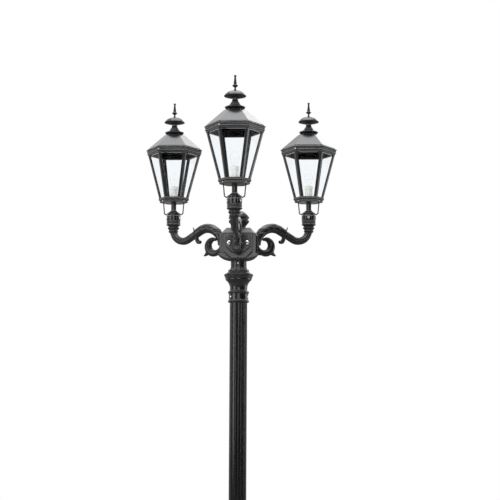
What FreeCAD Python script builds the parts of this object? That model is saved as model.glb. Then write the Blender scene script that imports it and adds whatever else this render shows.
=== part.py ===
"""Three-light garden lamp post: a parametric model in millimetres, +Z up, post axis at the origin."""
import FreeCAD
import Part
import Sketcher
import math
import os
from collections import namedtuple
from FreeCAD import Placement, Rotation, Vector

# Each light: name, direction of its arm and turn of its holder, in degrees about +Z
LIGHTS = (("left", 150, 60), ("right", 30, 0), ("front", -90, -68))
FIRST_ARM = -90
CAPITAL_TURN = -139
ARMS = 3
SIDES = 6
FLUTES = 20
COS30 = math.cos(math.radians(30))
PANEL_SPREAD = 52

# The leaf on an arm's hump, in degrees round the hump from the level line towards the lantern
LEAF_START = 160
STRAND_STARTS = (158, 136, 114, 92)
STRAND_RUN = 26
STRAND_TURN = (8, 45, 80, 115)
# Paths at the hump's end: millimetres along the arm, and off its centre line
LEAF_RUN = 36
CURL_PATH = ((42, -16), (48, -40), (47, -58), (34, -68))
SPIKE_PATH = ((6, 20), (32, 24), (36, 55))
SCROLL_SWEEP = 286

# Driving dimensions: alias, value in millimetres, meaning
SIZES = (
    ("fit_gap", 0.3, "clearance between pieces that are assembled"),
    ("flange_radius", 180, "foot flange"),
    ("flange_thickness", 20, "foot flange"),
    ("bolt_circle", 145, "radius of the circle of foundation bolts"),
    ("bolt_hole", 9, "radius of a foundation bolt hole"),
    ("cable_bore", 35, "radius of the cable way"),
    ("plinth_radius", 92, "plain drum of the foot"),
    ("plinth_height", 210, "plain drum of the foot"),
    ("plinth_neck", 80, "moulding from drum to shaft"),
    ("spigot_length", 40, "spigots inside the shaft and neck"),
    ("shaft_radius", 59, "fluted shaft over the lands"),
    ("shaft_height", 1770, "fluted shaft"),
    ("shaft_bore", 45, "radius inside the shaft"),
    ("flute_radius", 7, "cutter of one flute"),
    ("flute_depth", 4, "depth of one flute"),
    ("band_radius", 66, "screw band of the capital"),
    ("band_height", 42, "screw band of the capital"),
    ("bead_size", 6, "projection of the beads beside the band"),
    ("bell_height", 82, "bell of the capital"),
    ("bell_radius", 89, "top of the bell"),
    ("abacus_radius", 99, "widest moulding of the capital"),
    ("abacus_height", 52, "widest moulding of the capital"),
    ("shoulder_radius", 71, "shoulder under the neck"),
    ("shoulder_height", 24, "shoulder under the neck"),
    ("neck_radius", 54, "neck below the hub"),
    ("neck_height", 48, "neck below the hub"),
    ("neck_bore", 41, "radius inside the neck"),
    ("dish_radius", 150, "rounded corners of the dish"),
    ("dish_height", 44, "dish below the hub"),
    ("hub_face", 80, "post axis to a hub face"),
    ("hub_corner", 124, "post axis to a cut-off hub corner"),
    ("hub_height", 141, "upright hub walls"),
    ("hub_roof", 37, "sloping hub roof"),
    ("hub_bore", 55, "radius of the wiring space in the hub"),
    ("acorn_seat", 47, "radius of the acorn's foot"),
    ("acorn_radius", 70, "acorn's cup and lip"),
    ("acorn_cup", 61, "height of the acorn's cup"),
    ("acorn_dome", 55, "height of the acorn's dome"),
    ("plate_width", 95, "half width of an arm's plate"),
    ("plate_thickness", 14, "arm's plate"),
    ("plate_drop", 32, "plate's reach below the hub walls"),
    ("plate_corner", 46, "sloping lower corners of the plate"),
    ("shield_thickness", 5, "raised shield on the plate"),
    ("shield_margin", 13, "plate seen around the shield"),
    ("arm_bolt_offset", 61, "arm bolt from the arm's plane"),
    ("arm_bolt_height", 71, "arm bolt above the dish"),
    ("arm_bolt_head", 14, "radius of a bolt head"),
    ("arm_bolt_shank", 6, "radius of a bolt shank"),
    ("arm_bolt_length", 40, "shank of a bolt"),
    ("arm_reach", 549, "post axis to a lantern axis"),
    ("arm_tube", 26, "radius of an arm's reeded tube"),
    ("reed_depth", 3.2, "grooves between the reeds"),
    ("hump_centre", 264, "post axis to the hump's centre"),
    ("hump_rise", 71, "hump's centre above the dish"),
    ("hump_radius", 123, "centre line of the hump"),
    ("bend_rise", 206, "bend's centre above the dish"),
    ("bend_radius", 89, "centre line of the bend"),
    ("leaf_sleeve", 31, "radius of the leaf round the hump"),
    ("leaf_strand", 5, "radius of one strand of the leaf"),
    ("scroll_centre", 203, "post axis to the scroll's centre"),
    ("scroll_rise", 74, "scroll's centre above the dish"),
    ("scroll_radius", 61, "start of the scroll's spiral"),
    ("scroll_belly", 27, "half thickness of the scroll's outer side"),
    ("scroll_tip", 10, "radius of the scroll's tip"),
    ("curl_radius", 15, "radius of the small curl"),
    ("seat_rise", 229, "holder's seat above the dish"),
    ("collar_radius", 40.5, "upper ring under the holder"),
    ("collar_height", 23, "one ring under the holder"),
    ("arm_spigot", 27, "radius of the spigot inside the holder"),
    ("arm_spigot_length", 62, "spigot inside the holder"),
    ("holder_radius", 47.5, "barrel of the holder"),
    ("holder_barrel", 88, "flange, beads and barrel of the holder"),
    ("holder_cone", 21, "conical top of the holder"),
    ("panel_rise", 2.5, "raised panels of the barrel"),
    ("panel_height", 30, "raised panels of the barrel"),
    ("holder_screw", 4, "radius of a holder screw"),
    ("stem_radius", 18, "stem tube"),
    ("stem_wall", 5, "stem tube"),
    ("stem_show", 57, "stem seen between holder and lantern"),
    ("stem_depth", 24, "stem inside the holder"),
    ("rod_radius", 4, "stay rod"),
    ("rod_spread", 72, "stay rod from the lantern axis"),
    ("rod_lean", 7, "inward lean of a stay rod"),
    ("rod_depth", 14, "stay rod inside the base ring"),
    ("ring_radius", 107, "base ring over its corners"),
    ("ring_height", 34, "base ring"),
    ("ring_step", 8, "lower step of the base ring"),
    ("ring_opening", 62, "corner radius of the base ring's opening"),
    ("floor_thickness", 4, "floor plate"),
    ("floor_radius", 88, "floor plate over its corners"),
    ("frame_screw", 2.5, "radius of a frame screw"),
    ("frame_foot", 105, "corner posts over their corners, at the base ring"),
    ("frame_head", 184, "corner posts over their corners, at the eave"),
    ("frame_height", 300, "corner posts"),
    ("bar_wing", 17, "glazing bar along the glass"),
    ("bar_thickness", 5, "glazing bar in front of the glass"),
    ("bar_web", 5, "half width of the glazing bar's web"),
    ("bar_depth", 14, "glazing bar's web behind the glass face"),
    ("glass_thickness", 4, "panes"),
    ("eave_radius", 188, "eave over its corners, at its foot"),
    ("eave_height", 45, "eave"),
    ("eave_step", 5.5, "projection of each eave moulding"),
    ("eave_opening", 160, "corner radius of the eave's opening"),
    ("roof_radius", 188, "roof over its corners"),
    ("roof_height", 104, "roof"),
    ("roof_top", 72, "top of the roof over its corners"),
    ("roof_wall", 6, "roof"),
    ("vent_radius", 26, "vent hole in the roof"),
    ("hinge_offset", 10, "hinge axis behind the eave's lip"),
    ("knuckle_radius", 7, "hinge knuckles"),
    ("knuckle_width", 24, "roof's knuckle"),
    ("ear_width", 14, "one hinge ear"),
    ("ear_gap", 0.5, "knuckle to ear"),
    ("pin_radius", 3, "hinge pin"),
    ("pin_gap", 0.05, "running clearance of the hinge pin"),
    ("collar_wall", 35, "radius of the cowl's foot"),
    ("collar_rise", 22, "cowl's foot below the brim"),
    ("brim_radius", 67, "cowl's brim"),
    ("brim_drop", 15, "droop of the brim"),
    ("brim_thickness", 10, "cowl's brim"),
    ("cowl_cone", 28, "cone above the brim"),
    ("vent_neck", 18, "radius of the neck under the cap"),
    ("vent_neck_height", 26, "neck under the cap"),
    ("cap_radius", 72, "mushroom cap"),
    ("cap_skirt", 16, "underside of the cap"),
    ("cap_dome", 35, "dome of the cap"),
    ("finial_foot", 9, "radius of the spike's foot"),
    ("finial_disc", 19, "radius of the spike's disc"),
    ("finial_ball", 8.6, "radius of the spike's ball"),
    ("finial_height", 104, "spike"),
    ("stud_radius", 4, "spike's stud"),
    ("stud_length", 40, "spike's stud"),
    ("socket_radius", 26, "lamp holder's body"),
    ("socket_height", 57, "lamp holder's body"),
    ("socket_rim", 29, "radius of the lamp holder's rim"),
    ("socket_rim_height", 25, "lamp holder's rim"),
    ("lamp_cap", 13, "radius of the bulb's cap"),
    ("lamp_cap_length", 27, "bulb's cap"),
    ("lamp_radius", 30, "bulb"),
    ("lamp_height", 96, "bulb above its holder"),
)

doc = FreeCAD.newDocument("garden_lamp_post")
sheet = doc.addObject("Spreadsheet::Sheet", "sizes")
Via = namedtuple("Via", "x y")
DOME_UP = "V_Axis"
DOME_OUT = "H_Axis"
SKETCH_AXIS = {DOME_UP: -2, DOME_OUT: -1}
nodes = []


class Size:
    """A number together with the sheet expression that gives it."""

    def __init__(self, value, text):
        self.value = value
        self.text = text

    def __add__(self, other):
        return Size(self.value + number(other), f"({self.text} + {expression(other)})")

    def __sub__(self, other):
        return Size(self.value - number(other), f"({self.text} - {expression(other)})")

    def __mul__(self, other):
        return Size(self.value * number(other), f"({self.text} * {expression(other)})")

    def __truediv__(self, other):
        return Size(self.value / number(other), f"({self.text} / {expression(other)})")

    def __neg__(self):
        return self * -1

    def __radd__(self, other):
        return self + other

    def __rmul__(self, other):
        return self * other

    def __rsub__(self, other):
        return self * -1 + other


def number(item):
    """Return the plain value of a Size or a number."""
    return item.value if isinstance(item, Size) else float(item)


def expression(item):
    """Return a Size or a number as text for an expression."""
    return item.text if isinstance(item, Size) else f"{item:.9f}"


class Sizes:
    """The sheet's driving dimensions as attributes."""

    def __init__(self, rows):
        for line, (alias, value, meaning) in enumerate(rows, start=1):
            sheet.set(f"A{line}", alias)
            sheet.set(f"B{line}", str(value))
            sheet.set(f"C{line}", meaning)
            sheet.setAlias(f"B{line}", alias)
            setattr(self, alias, Size(float(value), f"{sheet.Name}.{alias}"))


s = Sizes(SIZES)
doc.recompute()


def bind(item, path, size):
    """Give a property its size, bound to the sheet where the size comes from there."""
    if isinstance(size, Size):
        item.setExpression(path, size.text)


def put(item, x=0, y=0, z=0, turn=0):
    """Place an object, with its position bound to the sheet."""
    spot = Vector(number(x), number(y), number(z))
    item.Placement = Placement(spot, Rotation(Vector(0, 0, 1), turn))
    for axis, size in zip("xyz", (x, y, z)):
        bind(item, f"Placement.Base.{axis}", size)


def new_body(label, x=0, y=0, z=0, turn=0, node=True):
    """Start a body at its place; a node is written to its own file."""
    body = doc.addObject("PartDesign::Body", label)
    body.Label = label
    put(body, x, y, z, turn)
    if node:
        nodes.append(body)
    return body


def origin_item(body, role):
    """Return the body's own origin plane or axis of that role."""
    return next(item for item in body.Origin.OriginFeatures if item.Role == role)


def new_sketch(body, plane, offset=(0, 0, 0), turn=0):
    """Start a sketch on one of the body's planes, moved in that plane's axes and turned about its Y axis."""
    sketch = body.newObject("Sketcher::SketchObject", f"{body.Name}_sketch")
    sketch.AttachmentSupport = [(origin_item(body, plane), "")]
    sketch.MapMode = "FlatFace"
    spot = Vector(*[number(size) for size in offset])
    sketch.AttachmentOffset = Placement(spot, Rotation(Vector(0, 1, 0), turn))
    for axis, size in zip("xyz", offset):
        bind(sketch, f"AttachmentOffset.Base.{axis}", size)
    return sketch


def fix_point(sketch, geometry, position, point):
    """Hold a point of the sketch at its distances from the sketch's origin."""
    for kind, size in zip(("DistanceX", "DistanceY"), point):
        rule = Sketcher.Constraint(kind, -1, 1, geometry, position, number(size))
        bind(sketch, f"Constraints[{sketch.addConstraint(rule)}]", size)


def flat(point):
    """Return a sketch point as a vector."""
    return Vector(number(point[0]), number(point[1]), 0)


def dome_middle(edge, crown, axis):
    """Return the middle of an arc from a dome's edge to its crown, centred on the axis."""
    turn = (lambda point: point) if axis == DOME_UP else (lambda point: Vector(point.y, point.x, 0))
    low, high = turn(flat(edge)), turn(flat(crown))
    rise = high.y - low.y
    radius = (low.x ** 2 + rise ** 2) / (2 * rise)
    angle = (math.atan2(low.y - high.y + radius, low.x) + math.pi / 2) / 2
    return turn(Vector(radius * math.cos(angle), high.y - radius + radius * math.sin(angle), 0))


def draw_arc(sketch, first, middle, last):
    """Draw an arc through a Via point, or a dome's arc whose centre is held on an axis."""
    if isinstance(middle, Via):
        arc = sketch.addGeometry(Part.Arc(flat(first), flat(middle), flat(last)), False)
        mark = sketch.addGeometry(Part.Point(flat(middle)), True)
        fix_point(sketch, mark, 1, middle)
        sketch.addConstraint(Sketcher.Constraint("PointOnObject", mark, 1, arc))
    else:
        arc = sketch.addGeometry(Part.Arc(flat(first), dome_middle(first, last, middle), flat(last)), False)
        sketch.addConstraint(Sketcher.Constraint("PointOnObject", arc, 3, SKETCH_AXIS[middle]))
    return arc


def draw(sketch, outline, closed=True):
    """Draw an outline of corners; a Via or a dome mark makes one arc of its two neighbours."""
    corners = [index for index, point in enumerate(outline) if type(point) is tuple]
    ends = corners[1:] + corners[:1] if closed else corners[1:]
    edges = []
    for start, end in zip(corners, ends):
        first, last = outline[start], outline[end]
        middle = outline[(start + 1) % len(outline)]
        if type(middle) is tuple:
            edge = sketch.addGeometry(Part.LineSegment(flat(first), flat(last)), False)
        else:
            edge = draw_arc(sketch, first, middle, last)
        forward = sketch.getPoint(edge, 1).distanceToPoint(flat(first)) < 1e-6
        edges.append((edge, 1 if forward else 2, 2 if forward else 1))
        fix_point(sketch, edge, edges[-1][1], first)
    for before, after in zip(edges, edges[1:] + edges[:1] if closed else edges[1:]):
        sketch.addConstraint(Sketcher.Constraint("Coincident", before[0], before[2], after[0], after[1]))
    if not closed:
        fix_point(sketch, edges[-1][0], edges[-1][2], outline[-1])


def draw_circle(sketch, radius, x=0, y=0):
    """Draw a circle bound to its radius and centre."""
    centre = Vector(number(x), number(y), 0)
    circle = sketch.addGeometry(Part.Circle(centre, Vector(0, 0, 1), number(radius)), False)
    rule = Sketcher.Constraint("Radius", circle, number(radius))
    bind(sketch, f"Constraints[{sketch.addConstraint(rule)}]", radius)
    fix_point(sketch, circle, 3, (x, y))


def add(body, kind, name, sketch):
    """Add a sketch-based feature to the body and make it the tip."""
    feature = body.newObject(f"PartDesign::{kind}", f"{body.Name}_{name}")
    feature.Profile = sketch
    body.Tip = feature
    return feature


def extrude(body, kind, name, sketch, length, midplane=False):
    """Pad or pocket a sketch by a bound length."""
    feature = add(body, kind, name, sketch)
    feature.Length = number(length)
    bind(feature, "Length", length)
    feature.Midplane = midplane
    return feature


def revolve(body, kind, name, sketch, axis="V_Axis"):
    """Turn a sketch once round one of its own axes."""
    feature = add(body, kind, name, sketch)
    feature.ReferenceAxis = (sketch, [axis])
    feature.Angle = 360
    return feature


def loft(body, kind, name, sections):
    """Loft flat outlines, each given with its height, with straight walls."""
    sketches = []
    for outline, height in sections:
        sketch = new_sketch(body, "XY_Plane", (0, 0, height))
        draw(sketch, outline)
        sketches.append(sketch)
    feature = add(body, kind, name, sketches[0])
    feature.Sections = sketches[1:]
    feature.Ruled = True
    return feature


def around(body, name, features, count):
    """Repeat features round the body's Z axis."""
    pattern = body.newObject("PartDesign::PolarPattern", f"{body.Name}_{name}")
    pattern.Originals = features
    pattern.Axis = (origin_item(body, "Z_Axis"), [""])
    pattern.Angle = 360
    body.Tip = pattern
    pattern.Occurrences = count
    return pattern


def turned(label, outline, x=0, y=0, z=0, turn=0):
    """Make a turned piece from half its section, drawn as radius and height."""
    body = new_body(label, x, y, z, turn)
    sketch = new_sketch(body, "XZ_Plane")
    draw(sketch, outline)
    revolve(body, "Revolution", "turn", sketch)
    return body


def radial(body, kind, name, outline, height, side=0, turn=0, shift=0):
    """Turn an outline about a level line, drawn as distance along it and radius."""
    sketch = new_sketch(body, "XZ_Plane", (shift, height, side), turn)
    draw(sketch, outline)
    return revolve(body, kind, name, sketch, "H_Axis")


def bar(start, end, radius):
    """Return half the section of a plain bar, for a radial turn."""
    return [(start, 0), (end, 0), (end, radius), (start, radius)]


def screw_outline(seat, head, shank, length):
    """Return half the section of a dome-headed screw whose head sits at a radius."""
    height = head * 0.7
    return [(seat - length, 0), (seat - length, shank), (seat, shank), (seat, head),
            (seat + height * 0.3, head), DOME_OUT, (seat + height, 0)]


def polygon(radius, count=SIDES, start=0):
    """Return a regular polygon by its corner radius."""
    angles = [math.radians(start + 360 * step / count) for step in range(count)]
    return [(radius * math.cos(angle), radius * math.sin(angle)) for angle in angles]


def hub_outline(face, corner):
    """Return a triangle with cut-off corners, one face square to +X."""
    half = (corner - face / 2) / COS30
    points = []
    for step in range(ARMS):
        angle = math.radians(360 * step / ARMS)
        for side in (-1, 1):
            points.append((face * math.cos(angle) - half * (side * math.sin(angle)),
                           face * math.sin(angle) + half * (side * math.cos(angle))))
    return points


# Heights of the seats, from the ground up
base_height = s.flange_thickness + s.plinth_height + s.plinth_neck
capital_seat = base_height + s.shaft_height
bead_height = s.bead_size * 3
capital_height = s.band_height + bead_height * 2 + s.bell_height + s.abacus_height + s.shoulder_height
neck_seat = capital_seat + capital_height
dish_seat = neck_seat + s.neck_height
hub_seat = dish_seat + s.dish_height
acorn_seat_height = hub_seat + s.hub_height + s.hub_roof
holder_seat = hub_seat + s.seat_rise
holder_height = s.holder_barrel + s.holder_cone
ring_seat = holder_seat + holder_height + s.stem_show
frame_seat = ring_seat + s.ring_height
eave_seat = frame_seat + s.frame_height
roof_seat = eave_seat + s.eave_height + s.fit_gap
cowl_seat = roof_seat + s.roof_height
cap_seat = cowl_seat + s.collar_rise + s.cowl_cone + s.vent_neck_height
finial_seat = cap_seat + s.cap_skirt + s.cap_dome
lamp_seat = frame_seat

# Screws of the holders and the lantern frames
groove_height = 12
holder_screw_height = s.holder_barrel - groove_height - 20.5
boss_face = s.holder_radius + s.panel_rise + 1
frame_screw_length = s.frame_screw * 3
ring_screw_height = s.ring_height * 0.27
eave_screw_height = s.eave_height / 2
eave_screw_side = s.eave_radius * 0.485
eave_bead = s.eave_radius + s.eave_step * 1.1

# The hinge stands behind the eave's lip, just above the roof's seat
eave_lip = s.eave_radius + s.eave_step * 2
hinge_y = eave_lip * COS30 + s.hinge_offset
hinge_rise = s.knuckle_radius + s.fit_gap * 2


def post_base():
    """Foot with a bolt flange, a plain drum and a spigot for the shaft."""
    drum_top = s.flange_thickness + s.plinth_height
    spigot = s.shaft_bore - s.fit_gap
    neck_top = s.shaft_radius + 6
    body = turned("post_base", [
        (s.cable_bore, 0), (s.flange_radius, 0), (s.flange_radius, s.flange_thickness - 5),
        (s.flange_radius - 5, s.flange_thickness), (s.plinth_radius + 20, s.flange_thickness),
        (s.plinth_radius + 20, s.flange_thickness + 18), Via(s.plinth_radius + 6, s.flange_thickness + 24),
        (s.plinth_radius, s.flange_thickness + 38), (s.plinth_radius, drum_top - 12),
        Via(s.plinth_radius + 6, drum_top - 6), (s.plinth_radius, drum_top),
        Via(neck_top + 8, drum_top + s.plinth_neck * 0.35), (neck_top, base_height - 16),
        Via(neck_top + 6, base_height - 8), (neck_top, base_height), (spigot, base_height),
        (spigot, base_height + s.spigot_length), (s.cable_bore, base_height + s.spigot_length)])
    sketch = new_sketch(body, "XY_Plane")
    corner = s.bolt_circle * math.cos(math.pi / 4)
    draw_circle(sketch, s.bolt_hole, corner, corner)
    hole = extrude(body, "Pocket", "bolt_hole", sketch, s.flange_thickness)
    hole.Reversed = True
    around(body, "bolt_holes", [hole], 4)


def fluted_shaft():
    """Tube with half-round flutes between narrow lands."""
    body = new_body("fluted_shaft", z=base_height)
    section = new_sketch(body, "XY_Plane")
    draw_circle(section, s.shaft_radius)
    draw_circle(section, s.shaft_bore)
    extrude(body, "Pad", "tube", section, s.shaft_height)
    cutter = new_sketch(body, "XY_Plane")
    draw_circle(cutter, s.flute_radius, s.shaft_radius + s.flute_radius - s.flute_depth)
    flute = extrude(body, "Pocket", "flute", cutter, s.shaft_height)
    flute.Reversed = True
    around(body, "flutes", [flute], FLUTES)


def shaft_capital():
    """Turned capital: two beads beside the screw band, a bell, a wide moulding and a shoulder."""
    spigot = s.shaft_bore - s.fit_gap
    band = bead_height + s.band_height
    bell = band + bead_height
    abacus = bell + s.bell_height
    shoulder = abacus + s.abacus_height
    bell_foot = s.shaft_radius + 0.5
    top = s.neck_bore - s.fit_gap
    body = turned("shaft_capital", [
        (s.cable_bore, -s.spigot_length), (spigot, -s.spigot_length), (spigot, 0), (s.band_radius, 0),
        Via(s.band_radius + s.bead_size, bead_height / 2), (s.band_radius, bead_height),
        (s.band_radius, band),
        Via(s.band_radius + s.bead_size, band + bead_height / 2), (s.band_radius, bell),
        (bell_foot, bell + 4), (bell_foot, bell + 14), Via(bell_foot + 7, bell + s.bell_height * 0.62),
        (s.bell_radius, abacus - 6), (s.bell_radius, abacus + 2), (s.bell_radius + 2, abacus + 5),
        (s.abacus_radius - 3, abacus + s.abacus_height * 0.4),
        Via(s.abacus_radius, abacus + s.abacus_height * 0.53),
        (s.abacus_radius - 3, abacus + s.abacus_height * 0.66),
        Via(s.shoulder_radius + 8, abacus + s.abacus_height * 0.8),
        (s.shoulder_radius, shoulder), (s.shoulder_radius, shoulder + s.shoulder_height * 0.4),
        (s.neck_radius + 3, shoulder + s.shoulder_height * 0.6),
        (s.neck_radius + 3, capital_height), (top, capital_height),
        (top, capital_height + s.spigot_length), (s.cable_bore, capital_height + s.spigot_length)],
        z=capital_seat, turn=CAPITAL_TURN)
    hole = radial(body, "Groove", "screw_hole", bar(s.shaft_bore, s.band_radius + 1, s.holder_screw + 0.2),
                  bead_height + s.band_height / 2)
    around(body, "screw_holes", [hole], ARMS)


def hub_dish():
    """Neck that widens into a dish, cut flat where the arms' plates pass."""
    rim = s.neck_height + s.dish_height
    body = turned("hub_dish", [
        (s.neck_bore, 0), (s.neck_radius, 0), (s.neck_radius, s.neck_height),
        Via(s.dish_radius * 0.7, s.neck_height + s.dish_height * 0.2), (s.dish_radius, rim - 16),
        Via(s.dish_radius + 3, rim - 9), (s.dish_radius - 2, rim), (s.neck_bore, rim)],
        z=neck_seat, turn=FIRST_ARM)
    cutter = bar(s.neck_bore - 1, s.neck_radius + 1, s.holder_screw + 0.2)
    hole = radial(body, "Groove", "screw_hole", cutter, s.neck_height * 0.6)
    around(body, "screw_holes", [hole], ARMS)
    sketch = new_sketch(body, "XY_Plane")
    wide = s.dish_radius * 2
    draw(sketch, [(s.hub_face, -wide), (wide, -wide), (wide, wide), (s.hub_face, wide)])
    flat_side = extrude(body, "Pocket", "flat", sketch, rim)
    flat_side.Reversed = True
    around(body, "flats", [flat_side], ARMS)


def hub_body():
    """Three-sided hub with cut-off corners and a sloping roof, hollow for the wiring."""
    body = new_body("hub_body", z=hub_seat, turn=FIRST_ARM)
    wall = hub_outline(s.hub_face, s.hub_corner)
    top = hub_outline(s.acorn_seat + 2, s.hub_corner - s.hub_face + s.acorn_seat + 2)
    loft(body, "AdditiveLoft", "walls", [(wall, 0), (wall, s.hub_height), (top, s.hub_height + s.hub_roof)])
    sketch = new_sketch(body, "XY_Plane")
    draw_circle(sketch, s.hub_bore)
    wiring = extrude(body, "Pocket", "wiring", sketch, s.hub_height)
    wiring.Reversed = True
    holes = []
    for side in (-s.arm_bolt_offset, s.arm_bolt_offset):
        reach = s.hub_face + s.plate_thickness + s.shield_thickness - s.arm_bolt_length - 1
        holes.append(radial(body, "Groove", "bolt_hole", bar(reach, s.hub_face + 1, s.arm_bolt_shank + 0.2),
                            s.arm_bolt_height, side))
    around(body, "bolt_holes", holes, ARMS)


def hub_finial():
    """Turned acorn: a cup, a narrow groove and a dome with a lip."""
    lip = s.acorn_cup + 6
    turned("hub_finial", [
        (0, 0), (s.acorn_seat, 0), (s.acorn_seat - 2, 10), Via(s.acorn_radius * 0.8, s.acorn_cup * 0.44),
        (s.acorn_radius, s.acorn_cup * 0.72), Via(s.acorn_radius - 1, s.acorn_cup * 0.86),
        (s.acorn_radius - 9, s.acorn_cup), (s.acorn_radius - 9, lip), (s.acorn_radius, lip + 2),
        (s.acorn_radius, lip + 9), DOME_UP, (0, lip + s.acorn_dome)], z=acorn_seat_height)


def ring_wire(centre, tangent, radius):
    """Return a round section square to its path."""
    return Part.Wire(Part.makeCircle(radius, centre, tangent))


def horn(points, radii, sections=9):
    """Return a smooth horn along a path of points, its radius running through the given radii."""
    path = Part.BSplineCurve()
    path.interpolate(points)
    first, last = path.FirstParameter, path.LastParameter
    wires = []
    for step in range(sections):
        share = step / (sections - 1)
        place = share * (len(radii) - 1)
        before = min(int(place), len(radii) - 2)
        radius = radii[before] + (radii[before + 1] - radii[before]) * (place - before)
        here = first + (last - first) * share
        wires.append(ring_wire(path.value(here), path.tangent(here)[0], radius))
    return Part.makeLoft(wires, True, False)


def strand(points, first, last):
    """Return a strand along a path of points in space, tapering from its first radius to its last."""
    path = Part.BSplineCurve()
    path.interpolate(points)
    ends = []
    for here, radius in ((path.FirstParameter, first), (path.LastParameter, last)):
        ends.append(ring_wire(path.value(here), path.tangent(here)[0], radius))
    return Part.Wire(path.toShape()).makePipeShell(ends, True, True)


def reeded_section(radius, depth, centre, across, up, reeds=8):
    """Return a closed section of round reeds, in the plane of two directions."""
    def spot(size, angle):
        return centre + across * (size * math.cos(angle)) + up * (size * math.sin(angle))
    pitch = 2 * math.pi / reeds
    arcs = []
    for step in range(reeds):
        start = step * pitch
        arcs.append(Part.Arc(spot(radius - depth, start), spot(radius, start + pitch / 2),
                             spot(radius - depth, start + pitch)).toShape())
    return Part.Wire(arcs)


def polar(centre, radius, angle):
    """Return a point in the arm's plane by its distance and angle from a centre."""
    return centre + Vector(math.cos(angle), 0, math.sin(angle)) * radius


def arm_path():
    """Return the centre line of an arm's tube, its hump's centre and the angle where the hump ends."""
    base = number(hub_seat)
    over, under = s.hump_radius.value, s.bend_radius.value
    hump = Vector(s.hump_centre.value, 0, base + s.hump_rise.value)
    bend = Vector(s.arm_reach.value - under, 0, base + s.bend_rise.value)
    along = bend - hump
    touch = math.atan2(along.z, along.x) + math.acos((over + under) / along.Length)
    hump_arc = Part.Arc(polar(hump, over, math.pi), polar(hump, over, (math.pi + touch) / 2),
                        polar(hump, over, touch))
    line = Part.LineSegment(polar(hump, over, touch), polar(bend, under, touch + math.pi))
    bend_arc = Part.Arc(polar(bend, under, touch - math.pi), polar(bend, under, (touch - math.pi) / 2),
                        polar(bend, under, 0))
    return Part.Wire([hump_arc.toShape(), line.toShape(), bend_arc.toShape()]), hump, touch


def arm_plate(bottom, top, half, corner, start, thickness):
    """Return a shield-shaped plate with sloping lower corners, facing along the arm."""
    chamfer = corner * 0.35
    outline = [(half - corner, bottom), (half, bottom + corner), (half, top - chamfer),
               (half - chamfer, top)]
    points = [Vector(start, y, z) for y, z in outline] + [Vector(start, -y, z) for y, z in reversed(outline)]
    face = Part.Face(Part.makePolygon(points + points[:1]))
    return face.extrude(Vector(thickness, 0, 0))


def arm_end():
    """Return the two turned rings below the holder and the spigot inside it."""
    seat = number(holder_seat)
    radius, height = s.collar_radius.value, s.collar_height.value
    reach, spigot, tube = s.arm_reach.value, s.arm_spigot.value - s.fit_gap.value, s.arm_tube.value
    outline = [(0, -2.2 * height), (tube - 2, -2.2 * height), (radius - 6, -1.75 * height),
               (radius - 6, -1.55 * height),
               (tube + 4, -1.25 * height), (radius, -0.75 * height), (radius, -0.55 * height), (tube + 6, 0),
               (spigot, 0), (spigot, s.arm_spigot_length.value), (0, s.arm_spigot_length.value)]
    points = [Vector(reach + r, 0, seat + z) for r, z in outline]
    face = Part.Face(Part.makePolygon(points + points[:1]))
    return face.revolve(Vector(reach, 0, 0), Vector(0, 0, 1), 360)


def scroll(eye):
    """Return the C-scroll below the hump: a spiral, thickest on its outer side, with a rounded tip."""
    steps = 16
    tip, belly = s.scroll_tip.value, s.scroll_belly.value
    points, radii = [], []
    for step in range(steps + 1):
        share = step / steps
        angle = math.pi + math.radians(SCROLL_SWEEP) * share
        points.append(polar(eye, s.scroll_radius.value * (1 - 0.34 * share), angle))
        radii.append(tip + (belly - tip) * math.sin(math.pi * share ** 1.2))
    return [horn(points, radii, steps + 1), Part.makeSphere(tip, points[-1])]


def scroll_leaves(eye, front):
    """Return the scroll's lower lobe, from the plate, and the wedge-shaped leaf below its outer side."""
    size = s.scroll_radius.value
    low = eye.z - size * 0.95
    end = Vector(eye.x + size * 0.35, 0, low)
    lobe = horn([Vector(front - 2, 0, low), Vector((front + end.x) / 2, 0, low - 2), end], [13, 12, 9])
    lean = math.radians(-40)
    wedge = horn([polar(eye, size * 0.72, lean), polar(eye, size * 1.25, lean - 0.06),
                  polar(eye, size * 1.75, lean)], [20, 16, 5])
    return [lobe, Part.makeSphere(9, end), wedge]


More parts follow.
